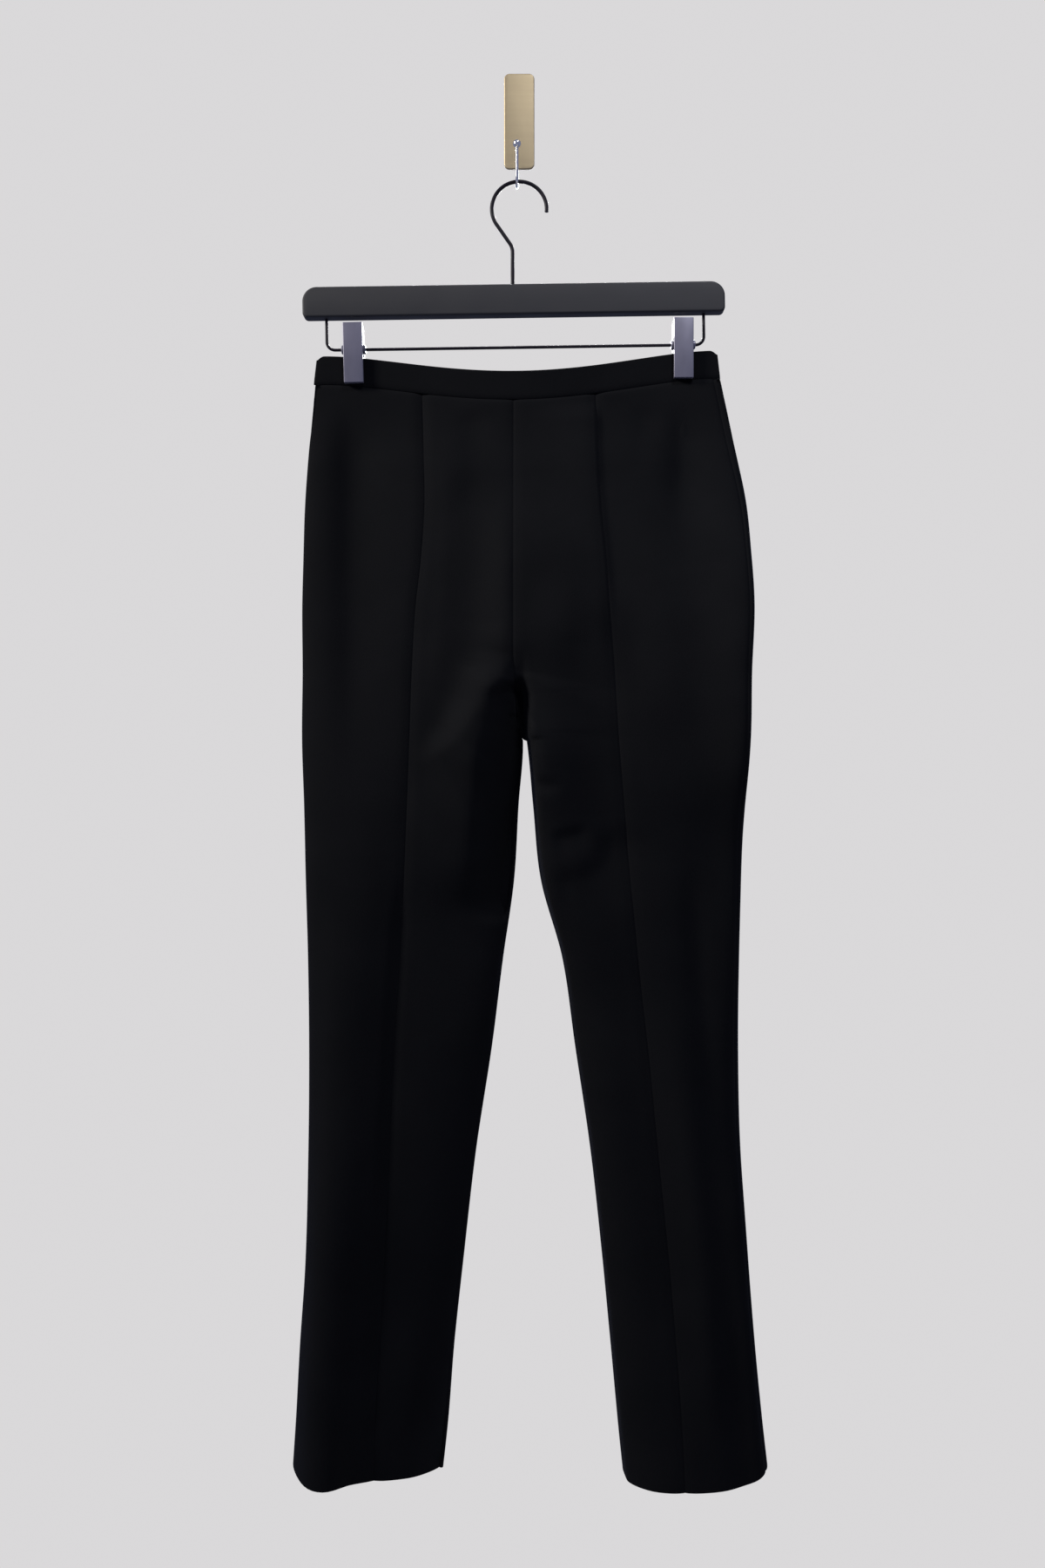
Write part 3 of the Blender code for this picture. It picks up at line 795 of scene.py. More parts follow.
@dataclass
class Clip:
    """One clip: two flat arms with jaws at their feet and a sleeve on the rod."""

    side: Side
    width: float = 17.7 * MM
    height: float = 54.5 * MM
    wall: float = 2.8 * MM
    space: float = 4.5 * MM
    jaw: float = 9.0 * MM
    slope: float = 5.0 * MM
    edge: float = 0.7 * MM
    band_face: float = 1.0 * MM + CLOTH_THICK + SEAM_GAP
    sleeve_radius: float = 4.0 * MM
    sleeve_length: float = 22.0 * MM
    chamfer: float = 0.8 * MM
    edge_steps: int = 4
    spin_steps: int = 40

    def build(
        self, place: Matrix, sleeve_place: Matrix, rod: float, grey: bpy.types.Material
    ) -> None:
        """Build both arms and the sleeve.

        Args:
            place: frame of the arms' top edge.
            sleeve_place: frame of the sleeve's middle.
            rod: radius of the rod in the sleeve.
            grey: the clip's material.
        """
        for facing, sign in (("near", -1), ("far", 1)):
            name = f"clip_{self.side.value}_{facing}"
            arm = mesh_piece(name, self.arm(sign, place), HARD_SHARP)
            show(arm, grey, "clip_plastic", name + "_arm")
        tube = self.sleeve(rod, sleeve_place)
        sleeve = mesh_piece(f"sleeve_{self.side.value}", tube, HARD_SHARP)
        show(sleeve, grey, "clip_plastic", f"clip_{self.side.value}_sleeve")

    def arm(self, sign: int, place: Matrix) -> bmesh.types.BMesh:
        """Make one arm: its side outline drawn, extruded across and softened.

        Args:
            sign: -1 for the near arm, 1 for the far one.
            place: frame of the arm's top edge.

        Returns:
            The arm as a bmesh, in place.
        """
        jaw_top = -self.height + self.jaw
        outer = self.space + self.wall
        outline = [
            (self.space, 0.0), (self.space, jaw_top + self.slope), (self.band_face, jaw_top),
            (self.band_face, -self.height), (outer, -self.height), (outer, 0.0),
        ]
        bm = bmesh.new()
        corners = [bm.verts.new((-self.width / 2, sign * out, up)) for out, up in outline]
        swept = bmesh.ops.extrude_face_region(bm, geom=[bm.faces.new(corners)])
        moved = [part for part in swept["geom"] if isinstance(part, bmesh.types.BMVert)]
        bmesh.ops.translate(bm, vec=(self.width, 0, 0), verts=moved)
        bmesh.ops.recalc_face_normals(bm, faces=bm.faces)
        bevel(bm, bm.edges[:], self.edge, self.edge_steps)
        bmesh.ops.transform(bm, matrix=place, verts=bm.verts)
        return bm

    def sleeve(self, rod: float, place: Matrix) -> bmesh.types.BMesh:
        """Make the sleeve: its wall's outline spun round the rod.

        Args:
            rod: radius of the rod in it.
            place: frame of its middle.

        Returns:
            The sleeve as a bmesh, in place.
        """
        half = self.sleeve_length / 2
        bore = rod + SEAM_GAP
        rim = self.sleeve_radius - self.chamfer
        outline = [
            (-half, bore), (half, bore), (half, rim), (half - self.chamfer, self.sleeve_radius),
            (-half + self.chamfer, self.sleeve_radius), (-half, rim),
        ]
        bm = bmesh.new()
        ring = [bm.verts.new((along, 0, out)) for along, out in outline]
        edges = [bm.edges.new((ring[i - 1], ring[i])) for i in range(len(ring))]
        bmesh.ops.spin(
            bm, geom=ring + edges, cent=(0, 0, 0), axis=(1, 0, 0), angle=math.tau,
            steps=self.spin_steps, use_merge=True,
        )
        bmesh.ops.recalc_face_normals(bm, faces=bm.faces)
        bmesh.ops.transform(bm, matrix=place, verts=bm.verts)
        return bm


# ---------------------------------------------------------------- form of the hung cloth

@dataclass(frozen=True)
class Section:
    """One level of a leg in millimetres: side fold, long panel seam and inner edge."""

    level: float
    outer: float
    panel: float
    inner: float


@dataclass(frozen=True)
class Stand:
    """How far the layers stand off their middle line at a level, and that line's depths."""

    level: float
    near: float
    far: float
    side: float
    inner: float


LEFT_SECTIONS = (
    Section(-250, -184.0, -88, -5),
    Section(-310, -189.5, -86, -5),
    Section(-360, -193.0, -85, -5),
    Section(-410, -194.5, -88, -5),
    Section(-455, -195.5, -93, -5),
    Section(-510, -195.0, -96, -5),
    Section(-571, -195.5, -98, 3),
    Section(-631, -193.5, -100, -1),
    Section(-698, -192.0, -103, -5),
    Section(-769, -190.0, -107, -15),
    Section(-848, -189.0, -112, -25),
    Section(-943, -189.5, -116, -39.5),
    Section(-1038, -191.5, -120, -50.5),
    Section(-1116, -196.5, -124, -59),
    Section(-1172, -199.5, -127, -64),
    Section(-1215, -202.5, -128, -69),
)
RIGHT_SECTIONS = (
    Section(-250, 181.0, 69, -5),
    Section(-310, 193.5, 70, -5),
    Section(-360, 203.0, 72, -5),
    Section(-410, 206.0, 76, -5),
    Section(-455, 207.0, 79, -5),
    Section(-510, 204.5, 84, -5),
    Section(-571, 203.5, 88, 7),
    Section(-631, 201.0, 93, 13),
    Section(-698, 199.0, 99, 20),
    Section(-769, 197.5, 106, 39.5),
    Section(-848, 197.0, 115, 51),
    Section(-943, 199.0, 124, 65),
    Section(-1038, 205.0, 133, 75.5),
    Section(-1116, 211.0, 139, 83),
    Section(-1172, 216.5, 143, 89),
    Section(-1215, 221.5, 145, 94),
)
STANDS = (
    Stand(-250, 8.0, 6.0, -24, -24),
    Stand(-310, 12.0, 7.5, -24, -24),
    Stand(-410, 16.5, 8.5, -24, -24),
    Stand(-510, 19.5, 9.5, -24, -24),
    Stand(-631, 22.5, 10.0, -23, -24),
    Stand(-848, 25.0, 10.5, -22, -25),
    Stand(-1038, 32.5, 10.5, -21, -26),
    Stand(-1172, 42.5, 11.0, -20, -27),
    Stand(-1215, 45.0, 11.5, -19, -28),
)
TOP = LEFT_SECTIONS[0].level * MM
FOOT = LEFT_SECTIONS[-1].level * MM


def read_table(table: tuple, column: str, level: float) -> float:
    """Read one column of a table of sections on a smooth curve through its rows.

    Args:
        table: rows from the top down, in millimetres.
        column: the name of the value to read.
        level: height in metres.

    Returns:
        The value in metres.
    """
    rows = [(row.level * MM, getattr(row, column) * MM) for row in table]
    last = len(rows) - 1
    index = 0
    while index < last - 1 and level < rows[index + 1][0]:
        index += 1
    z_top, v_top = rows[index]
    z_low, v_low = rows[index + 1]
    span = z_low - z_top
    share = clamp01((level - z_top) / span)
    above = rows[max(index - 1, 0)]
    below = rows[min(index + 2, last)]
    slope_top = (v_low - above[1]) / (z_low - above[0]) * span
    slope_low = (below[1] - v_top) / (below[0] - z_top) * span
    cube, square = share ** 3, share ** 2
    return (
        (2 * cube - 3 * square + 1) * v_top
        + (cube - 2 * square + share) * slope_top
        + (3 * square - 2 * cube) * v_low
        + (cube - square) * slope_low
    )


# A fold lifts nothing worth counting beyond this many of its half widths.
FOLD_REACH = 3
# The waist's sag and the hems move cloth by up to this many millimetres from its level.
LEVEL_SHIFT = 25.0


@dataclass(frozen=True)
class Fold:
    """A soft ridge or trough in the cloth, in millimetres on the hanging plane.

    Its path runs down, or from right to left where it lies flat. height is above 0 for a
    ridge and below 0 for a trough. left and right are the half widths on its two sides:
    where it lies flat, its left side is the upper one. lead and tail are the shares of its
    length over which it rises and dies away. left_end and right_end are the half widths at
    its end, where they differ from those at its start.
    """

    path: tuple[tuple[float, float], ...]
    height: float
    left: float
    right: float
    lead: float = 0.3
    tail: float = 0.4
    left_end: float | None = None
    right_end: float | None = None

    def width(self, right: bool, share: float) -> float:
        """Read the half width on one side.

        Args:
            right: True for the right side.
            share: share of the fold's length that is passed.

        Returns:
            The half width in millimetres.
        """
        start = self.right if right else self.left
        end = self.right_end if right else self.left_end
        return start if end is None else start + (end - start) * ease(share)

    def spans(self, level: float) -> bool:
        """Tell whether the fold may reach the cloth at a level.

        Args:
            level: the level in metres.

        Returns:
            True if any of it may.
        """
        heights = [place[1] for place in self.path]
        widest = max(self.left, self.right, self.left_end or 0, self.right_end or 0)
        margin = FOLD_REACH * widest + LEVEL_SHIFT
        return min(heights) - margin < level / MM < max(heights) + margin

    def lift(self, x: float, z: float) -> float:
        """Work out how far the fold lifts the cloth at a point.

        Args:
            x: the point's X in millimetres.
            z: the point's Z in millimetres.

        Returns:
            The lift in millimetres, below 0 in a trough.
        """
        nearest = math.inf
        passed = along = side = 0.0
        for (start_x, start_z), (end_x, end_z) in zip(self.path, self.path[1:]):
            run_x, run_z = end_x - start_x, end_z - start_z
            off_x, off_z = x - start_x, z - start_z
            length = math.hypot(run_x, run_z)
            share = clamp01((off_x * run_x + off_z * run_z) / length ** 2)
            gap = math.hypot(off_x - share * run_x, off_z - share * run_z)
            if gap < nearest:
                nearest = gap
                along = passed + share * length
                side = run_x * off_z - run_z * off_x
            passed += length
        share = along / passed
        ends = ease(share / self.lead) * ease((1 - share) / self.tail)
        return self.height * ends * bell(nearest, self.width(side > 0, share))


BACK_FOLDS = (
    # Down from the clips, where the cloth is pinched, and along the outer edges.
    Fold(((-150, -262), (-150, -457), (-146, -681)), -4.6, 16, 64, 0.14, 0.5, 16, 34),
    Fold(((-160, -680), (-166, -850), (-170, -1040), (-176, -1240)), 4.5, 14, 30, 0.3, 0.02),
    Fold(((-170, -860), (-176, -1040), (-184, -1240)), 12.4, 17, 36, 0.5, 0.02),
    Fold(((149, -258), (148, -320), (145, -410)), -4.6, 12, 34, 0.3, 0.6),
    Fold(((117, -262), (114, -290), (110, -340)), -2.0, 11, 22, 0.3, 0.6),
    # Between the left panel seam and the centre seam.
    Fold(((-43, -270), (-41, -330), (-45, -390)), -1.8, 14, 16, 0.15, 0.4),
    Fold(((-64, -290), (-62, -380), (-66, -470), (-74, -570)), 2.5, 14, 30, 0.2, 0.3),
    Fold(((6, -300), (8, -400), (4, -470), (-12, -545)), 5.0, 50, 66, 0.4, 0.35),
    # Drawn down and left past the fork, with the hollow below it.
    Fold(((-12, -335), (-8, -415), (-8, -470), (-16, -508), (-29, -540)), 13.0, 22, 75, 0.42, 0.3),
    Fold(
        ((-13, -494), (-20, -518), (-33, -545), (-51, -572), (-70, -588), (-94, -601)),
        22.0, 23, 10, 0.27, 0.5, 13, 80,
    ),
    Fold(
        ((-3, -516), (3, -533), (5, -571), (-1, -640), (-8, -742)),
        -14.5, 18, 4, 0.06, 0.12, 30, 5,
    ),
    Fold(((-38, -552), (-41, -640), (-44, -730)), 6.5, 26, 9, 0.25, 0.3),
    Fold(((-12, -514), (-8, -532), (-4, -551)), 3.5, 6, 6, 0.6, 0.1),
    # Right half of the seat: down to the long seam, up again, and out to the hip.
    Fold(((66, -262), (68, -340), (74, -410), (80, -490)), 4.0, 45, 6, 0.1, 0.3),
    Fold(((110, -472), (50, -466), (4, -458)), 5.0, 36, 50, 0.4, 0.4),
    Fold(((126, -310), (132, -430), (130, -630)), 12.0, 46, 34, 0.5, 0.35),
    Fold(((199, -290), (206, -420), (207, -550), (203, -680)), 26.0, 47, 8, 0.55, 0.38),
    Fold(((206, -510), (204, -620), (201, -745), (200, -900)), 10.0, 24, 8, 0.25, 0.5),
    Fold(((120, -560), (124, -680), (134, -810)), 5.0, 45, 60, 0.3, 0.4),
    Fold(((260, -588), (-60, -592)), 8.0, 80, 60, 0.1, 0.2),
    # Left leg.
    Fold(((-5, -648), (-110, -642)), 5.0, 40, 60, 0.4, 0.4),
    Fold(((-12, -715), (-24, -790), (-36, -880)), 3.2, 34, 6, 0.35, 0.4),
    Fold(
        ((-97, -558), (-103, -699), (-114, -891), (-126, -1111), (-131, -1240)),
        -5.6, 27, 75, 0.35, 0.02,
    ),
    Fold(((-105, -690), (-114, -817), (-124, -1011), (-132, -1190)), -2.2, 5, 25, 0.1, 0.05),
    Fold(((-20, -1250), (-170, -1250)), -7.0, 70, 20, 0.2, 0.15),
    Fold(((-98, -1070), (-100, -1250)), 6.0, 46, 24, 0.6, 0.02),
    # Right leg: pinched at the inner seam, creased across, then long soft folds down.
    Fold(
        (
            (8, -488), (11, -530), (12, -565), (10, -600),
            (10, -645), (16, -695), (32, -765), (56, -880),
        ),
        22.0, 4, 45, 0.26, 0.5, 5, 66,
    ),
    Fold(((38, -617), (12, -609)), -2.5, 5, 7, 0.6, 0.05),
    Fold(((66, -652), (50, -656), (26, -662)), -2.4, 6, 15, 0.4, 0.3),
    Fold(((90, -640), (86, -662), (76, -686), (56, -700), (24, -703)), -3.6, 14, 30, 0.3, 0.2),
    Fold(
        ((94, -650), (105, -790), (116, -917), (127, -1005), (138, -1122), (147, -1240)),
        -4.0, 30, 18, 0.3, 0.3,
    ),
    Fold(((48, -790), (66, -920), (78, -1040), (88, -1140), (95, -1240)), 11.0, 5, 46, 0.22, 0.02),
    Fold(
        ((130, -740), (140, -840), (151, -930), (162, -1030), (169, -1130), (175, -1240)),
        4.0, 14, 14, 0.5, 0.3,
    ),
    Fold(((152, -660), (158, -761), (166, -844), (176, -940)), -2.5, 11, 12, 0.3, 0.25),
    Fold(((185, -1040), (190, -1120), (202, -1240)), -3.0, 14, 12, 0.4, 0.02),
    Fold(((200, -900), (206, -1000), (215, -1120), (224, -1240)), 11.0, 22, 6, 0.3, 0.02),
)
FRONT_FOLDS = (
    Fold(((-150, -262), (-152, -420), (-146, -560)), -2.2, 14, 12, 0.04, 0.6),
    Fold(((147, -262), (150, -390), (143, -530)), -2.4, 13, 15, 0.04, 0.6),
    Fold(((-112, -262), (-98, -300), (-90, -352)), -0.9, 7, 9, 0.1, 0.6),
    Fold(((8, -500), (32, -528), (66, -552)), 2.2, 7, 10, 0.2, 0.4),
    Fold(((-12, -505), (-38, -540), (-76, -572)), 2.4, 10, 7, 0.2, 0.4),
    Fold(((-2, -470), (-18, -520), (-20, -600)), -2.0, 8, 12, 0.4, 0.4),
    Fold(((6, -480), (26, -540), (30, -640)), -2.2, 12, 8, 0.4, 0.4),
    Fold(((-30, -676), (-66, -690), (-110, -684)), -1.6, 10, 12, 0.3, 0.4),
    Fold(((110, -700), (74, -712), (36, -702)), -1.5, 9, 13, 0.4, 0.3),
    Fold(((-96, -560), (-106, -760), (-118, -960), (-132, -1180)), 2.4, 22, 18, 0.3, 0.1),
    Fold(((96, -570), (112, -780), (130, -980), (150, -1190)), 2.6, 20, 20, 0.3, 0.1),
)


@dataclass(frozen=True)
class Waist:
    """The waist as it hangs: the seam line sags, and the cloth bows between the clips."""

    level: float = -246.8 * MM
    slope: float = 0.0146
    sag: float = 17.8 * MM
    sag_centre: float = -1.0 * MM
    sag_half: float = 177.0 * MM
    sag_power: float = 1.7
    middle: float = -2.0 * MM
    half: float = 183.0 * MM
    lip: float = 1.0 * MM
    lip_power: int = 6
    bow_near: float = 6.5 * MM
    bow_far: float = 5.5 * MM
    bow_half: float = 138.0 * MM
    gap: float = 0.45 * MM

    def seam(self, x: float) -> float:
        """Work out the height of the waistband's lower seam.

        Args:
            x: the place along it.

        Returns:
            The height there.
        """
        reach = min(1.0, abs(x - self.sag_centre) / self.sag_half)
        hang = math.cos(reach * math.pi / 2) ** self.sag_power
        return self.level + self.slope * x - self.sag * hang

    def depth(self, x: float, near: bool) -> float:
        """Work out how far the waist stands off the hanger's plane.

        Args:
            x: the place along it.
            near: True for the near layer.

        Returns:
            The distance there.
        """
        reach = min(1.0, abs(x - self.middle) / self.half)
        lip = self.lip * math.sqrt(1 - reach ** self.lip_power)
        spread = min(1.0, abs(x - self.middle) / self.bow_half)
        bow = self.bow_near if near else self.bow_far
        return lip + bow * math.cos(spread * math.pi / 2) ** 2


WAIST = Waist()


@dataclass(frozen=True)
class Valley:
    """How cloth dips towards a seam: a wide soft dip and a narrow one at the stitches."""

    soft: float
    soft_width: float
    tight: float
    tight_width: float

    def dip(self, distance: float) -> float:
        """Return the dip at a distance from the seam."""
        return self.soft * bell(distance, self.soft_width) + self.tight * bell(
            distance, self.tight_width
        )


LEFT_PANEL_VALLEY = Valley(1.40 * MM, 5.5 * MM, 0.50 * MM, 1.1 * MM)
RIGHT_PANEL_VALLEY = Valley(1.10 * MM, 6.0 * MM, 0.60 * MM, 1.2 * MM)
SIDE_VALLEY = Valley(0.30 * MM, 3.0 * MM, 0.45 * MM, 1.0 * MM)
CENTRE_VALLEY = Valley(0.60 * MM, 4.5 * MM, 0.45 * MM, 1.0 * MM)
WAIST_VALLEY = Valley(0.45 * MM, 3.0 * MM, 0.85 * MM, 1.3 * MM)


@dataclass(frozen=True)
class Rung:
    """What one level of a leg needs, read once from the tables."""

    level: float
    outer: float
    inner: float
    calm: float
    near: float
    far: float
    side: float
    inseam: float
    panel_turn: float
    full: float
    body_full: float
    from_waist: float
    at_waist: float
    at_hem: float
    crease: float
    back_folds: tuple[Fold, ...]
    front_folds: tuple[Fold, ...]


@dataclass
class Leg:
    """One leg with its half of the seat.

    A place round it is its turn: 1 at the inner edge of the near layer, 0 at the side
    fold and -1 at the inner edge of the far layer.
    """

    side: Side
    sections: tuple[Section, ...]
    side_seam: float
    side_power: float
    inner_power: float
    hem: float
    side_rise: float
    inner_rise: float
    panel_valley: Valley
    hip_set: float = 0.0
    hip_level: float = -462.0 * MM
    hip_span: float = 115.0 * MM
    centre_seam: float = -5.2 * MM
    crotch_shift: float = 10.0 * MM
    shift_power: float = 1.5
    fork_top: float = -480.0 * MM
    crotch: float = -571.0 * MM
    fork_slack: float = 1.6 * MM
    slack_power: int = 6
    blend_top: float = -455.0 * MM
    blend_foot: float = -640.0 * MM
    seam_reach: float = 0.955
    waist_fade: float = 140.0 * MM
    waist_blend: float = 75.0 * MM
    hem_fade: float = 110.0 * MM
    crease_top: float = -262.0 * MM
    crease_end: float = -620.0 * MM
    crease_depth: float = 0.5
    crease_half: float = 26.0 * MM
    clip_places: tuple[float, float] = (-151.0 * MM, 148.3 * MM)
    rise_span: float = 0.33
    rise_power: int = 8
    fold_start: float = 12.0 * MM
    side_hold: float = 0.14
    inner_hold: float = 0.015
    inner_lead: float = 15.0 * MM
    calm_step: float = 9.0 * MM
    calm_reach: int = 3
    edge_pull: int = 24
    rungs: dict[float, Rung] = field(default_factory=dict)

    def fullness(self, level: float) -> float:
        """Return 1 above the fork, falling on a quarter ellipse to 0 at the crotch."""
        share = clamp01((level - self.crotch) / (self.fork_top - self.crotch))
        return math.sqrt(1 - (1 - share) ** 2)

    def inner_edge(self, level: float) -> float:
        """Place the centre seam above the crotch, or the inner edge below it.

        Args:
            level: the level in metres.

        Returns:
            Its X in metres.
        """
        if level < self.crotch:
            return read_table(self.sections, "inner", level)
        slack = 1 - self.fullness(level)
        away = -1 if self.side is Side.LEFT else 1
        opening = SEAM_GAP / 2 + self.fork_slack * slack ** self.slack_power
        shift = self.crotch_shift * slack ** self.shift_power
        return self.centre_seam + shift + away * opening

    def calm_edge(self, level: float) -> float:
        """Return x of the inner edge, averaged over the levels near this one."""
        steps = range(-self.calm_reach, self.calm_reach + 1)
        return sum(self.inner_edge(level + step * self.calm_step) for step in steps) / len(steps)

    def rung(self, level: float) -> Rung:
        """Read the tables at a level, once for each level.

        Args:
            level: the level in metres.

        Returns:
            The readings.
        """
        if level not in self.rungs:
            outer = read_table(self.sections, "outer", level)
            calm = self.calm_edge(level)
            panel = read_table(self.sections, "panel", level)
            fall = (self.crease_top - level) / (self.crease_top - self.crease_end)
            self.rungs[level] = Rung(
                level=level,
                outer=outer,
                inner=self.inner_edge(level),
                calm=calm,
                near=read_table(STANDS, "near", level),
                far=read_table(STANDS, "far", level),
                side=read_table(STANDS, "side", level),
                inseam=read_table(STANDS, "inner", level),
                panel_turn=math.sqrt(1 - (panel - calm) / (outer - calm)),
                full=self.fullness(level),
                body_full=ease((level - self.blend_foot) / (self.blend_top - self.blend_foot)),
                from_waist=ease((TOP - level) / self.waist_blend),
                at_waist=1 - ease((TOP - level) / self.waist_fade),
                at_hem=ease(1 - (level - FOOT) / self.hem_fade),
                crease=self.crease_depth * (1 - ease(fall)),
                back_folds=tuple(fold for fold in BACK_FOLDS if fold.spans(level)),
                front_folds=tuple(fold for fold in FRONT_FOLDS if fold.spans(level)),
            )
        return self.rungs[level]

    def stand_off(self, rung: Rung, turn: float, x: float) -> float:
        """Work out how far a layer stands off the leg's middle line.

        Args:
            rung: the level's readings.
            turn: the place round the leg.
            x: the place across.

        Returns:
            The distance in metres.
        """
        near = turn > 0
        reach = min(1.0, abs(turn))
        room = max(0.0, 1 - turn * turn)
        total = self.side_power + 2 * self.inner_power
        peak = (self.side_power / total) ** (self.side_power / 2)
        peak *= (2 * self.inner_power / total) ** self.inner_power
        tube = reach ** self.side_power * room ** self.inner_power / peak
        seat = math.sin(reach * math.pi / 2)
        kept = 1.0
        for place in self.clip_places:
            kept -= rung.crease * bell(x - place, self.crease_half)
        body = (rung.near if near else rung.far) * kept
        at_seam = ease((reach - self.seam_reach) / (1 - self.seam_reach))
        full = rung.body_full + (rung.full - rung.body_full) * at_seam
        body *= (1 - full) * tube + full * seat
        return WAIST.depth(x, near) * (1 - rung.from_waist) + body * rung.from_waist

    def base_point(self, rung: Rung, turn: float) -> Vector:
        """Place a point on the inside of the cloth, before seams and folds.

        Args:
            rung: the level's readings.
            turn: the place round the leg.

        Returns:
            The point in metres.
        """
        square = turn * turn
        x = rung.calm + (rung.outer - rung.calm) * (1 - square)
        x += (rung.inner - rung.calm) * turn ** self.edge_pull
        depth = self.stand_off(rung, turn, x) + SEAM_GAP / 2 * square
        middle = rung.side + (rung.inseam - rung.side) * square
        middle -= self.hip_set * bell(rung.level - self.hip_level, self.hip_span) * (1 - square)
        rise = self.side_rise * bell(turn, self.rise_span)
        rise += self.inner_rise * turn ** self.rise_power
        z = rung.level + (WAIST.seam(x) - WAIST.gap - TOP) * rung.at_waist
        z += (self.hem + rise - FOOT) * rung.at_hem
        return Vector((x, middle - math.copysign(depth, turn), z))

    def dip(self, rung: Rung, turn: float, pace: float) -> float:
        """Work out how far the seams draw the cloth in.

        Args:
            rung: the level's readings.
            turn: the place round the leg.
            pace: metres of cloth for each unit of turn.

        Returns:
            The move against the outward direction.
        """
        dip = self.panel_valley.dip(abs(turn - rung.panel_turn) * pace)
        dip += SIDE_VALLEY.dip(abs(turn - self.side_seam) * pace)
        dip += CENTRE_VALLEY.dip((1 - abs(turn)) * pace)
        return dip + WAIST_VALLEY.dip(TOP - rung.level)

    def relief(self, rung: Rung, turn: float, point: Vector) -> float:
        """Work out how far the folds bring the cloth towards its own side.

        Args:
            rung: the level's readings.
            turn: the place round the leg.
            point: the point before its folds.

        Returns:
            The move in metres. It fades at the waist seam, the side fold and the inner edge.
        """
        folds = rung.back_folds if turn > 0 else rung.front_folds
        x, z = point.x / MM, point.z / MM
        held = ease(abs(turn) / self.side_hold) * ease((TOP - rung.level) / self.fold_start)
        split = ease((self.crotch + self.inner_lead - rung.level) / self.inner_lead)
        held *= 1 - split * (1 - ease((1 - abs(turn)) / self.inner_hold))
        return held * sum(fold.lift(x, z) for fold in folds) * MM

    def row(self, level: float, turns: list[float]) -> list[Vector]:
        """Place the inside of the finished cloth along one level.

        Args:
            level: the level in metres.
            turns: places round the leg, falling.

        Returns:
            A point for each turn.
        """
        rung = self.rung(level)
        base = [self.base_point(rung, turn) for turn in turns]
        last = len(turns) - 1
        points = []
        for index, turn in enumerate(turns):
            before, after = max(index - 1, 0), min(index + 1, last)
            run = (base[after] - base[before]).to_2d()
            pace = run.length / (turns[before] - turns[after])
            outwards = Vector((-run.y, run.x, 0.0)).normalized()
            if self.side is Side.RIGHT:
                outwards.negate()
            forward = Vector((0, -1 if turn > 0 else 1, 0))
            forward *= self.relief(rung, turn, base[index])
            points.append(base[index] + forward - outwards * self.dip(rung, turn, pace))
        return points

    def seam_share(self, level: float, turn: float) -> float:
        """Return half a seam gap as a change of turn."""
        rung = self.rung(level)
        return SEAM_GAP / 2 / math.hypot(2 * turn * (rung.outer - rung.inner), rung.near)


LEFT_LEG = Leg(
    Side.LEFT, LEFT_SECTIONS, side_seam=-0.12, side_power=0.7, inner_power=0.6,
    hem=-1224.5 * MM, side_rise=5.0 * MM, inner_rise=-3.0 * MM, panel_valley=LEFT_PANEL_VALLEY,
)
RIGHT_LEG = Leg(
    Side.RIGHT, RIGHT_SECTIONS, side_seam=0.17, side_power=0.75, inner_power=0.55,
    hem=-1230.5 * MM, side_rise=13.0 * MM, inner_rise=1.0 * MM, panel_valley=RIGHT_PANEL_VALLEY,
    hip_set=21.0 * MM,
)


# ---------------------------------------------------------------- trousers

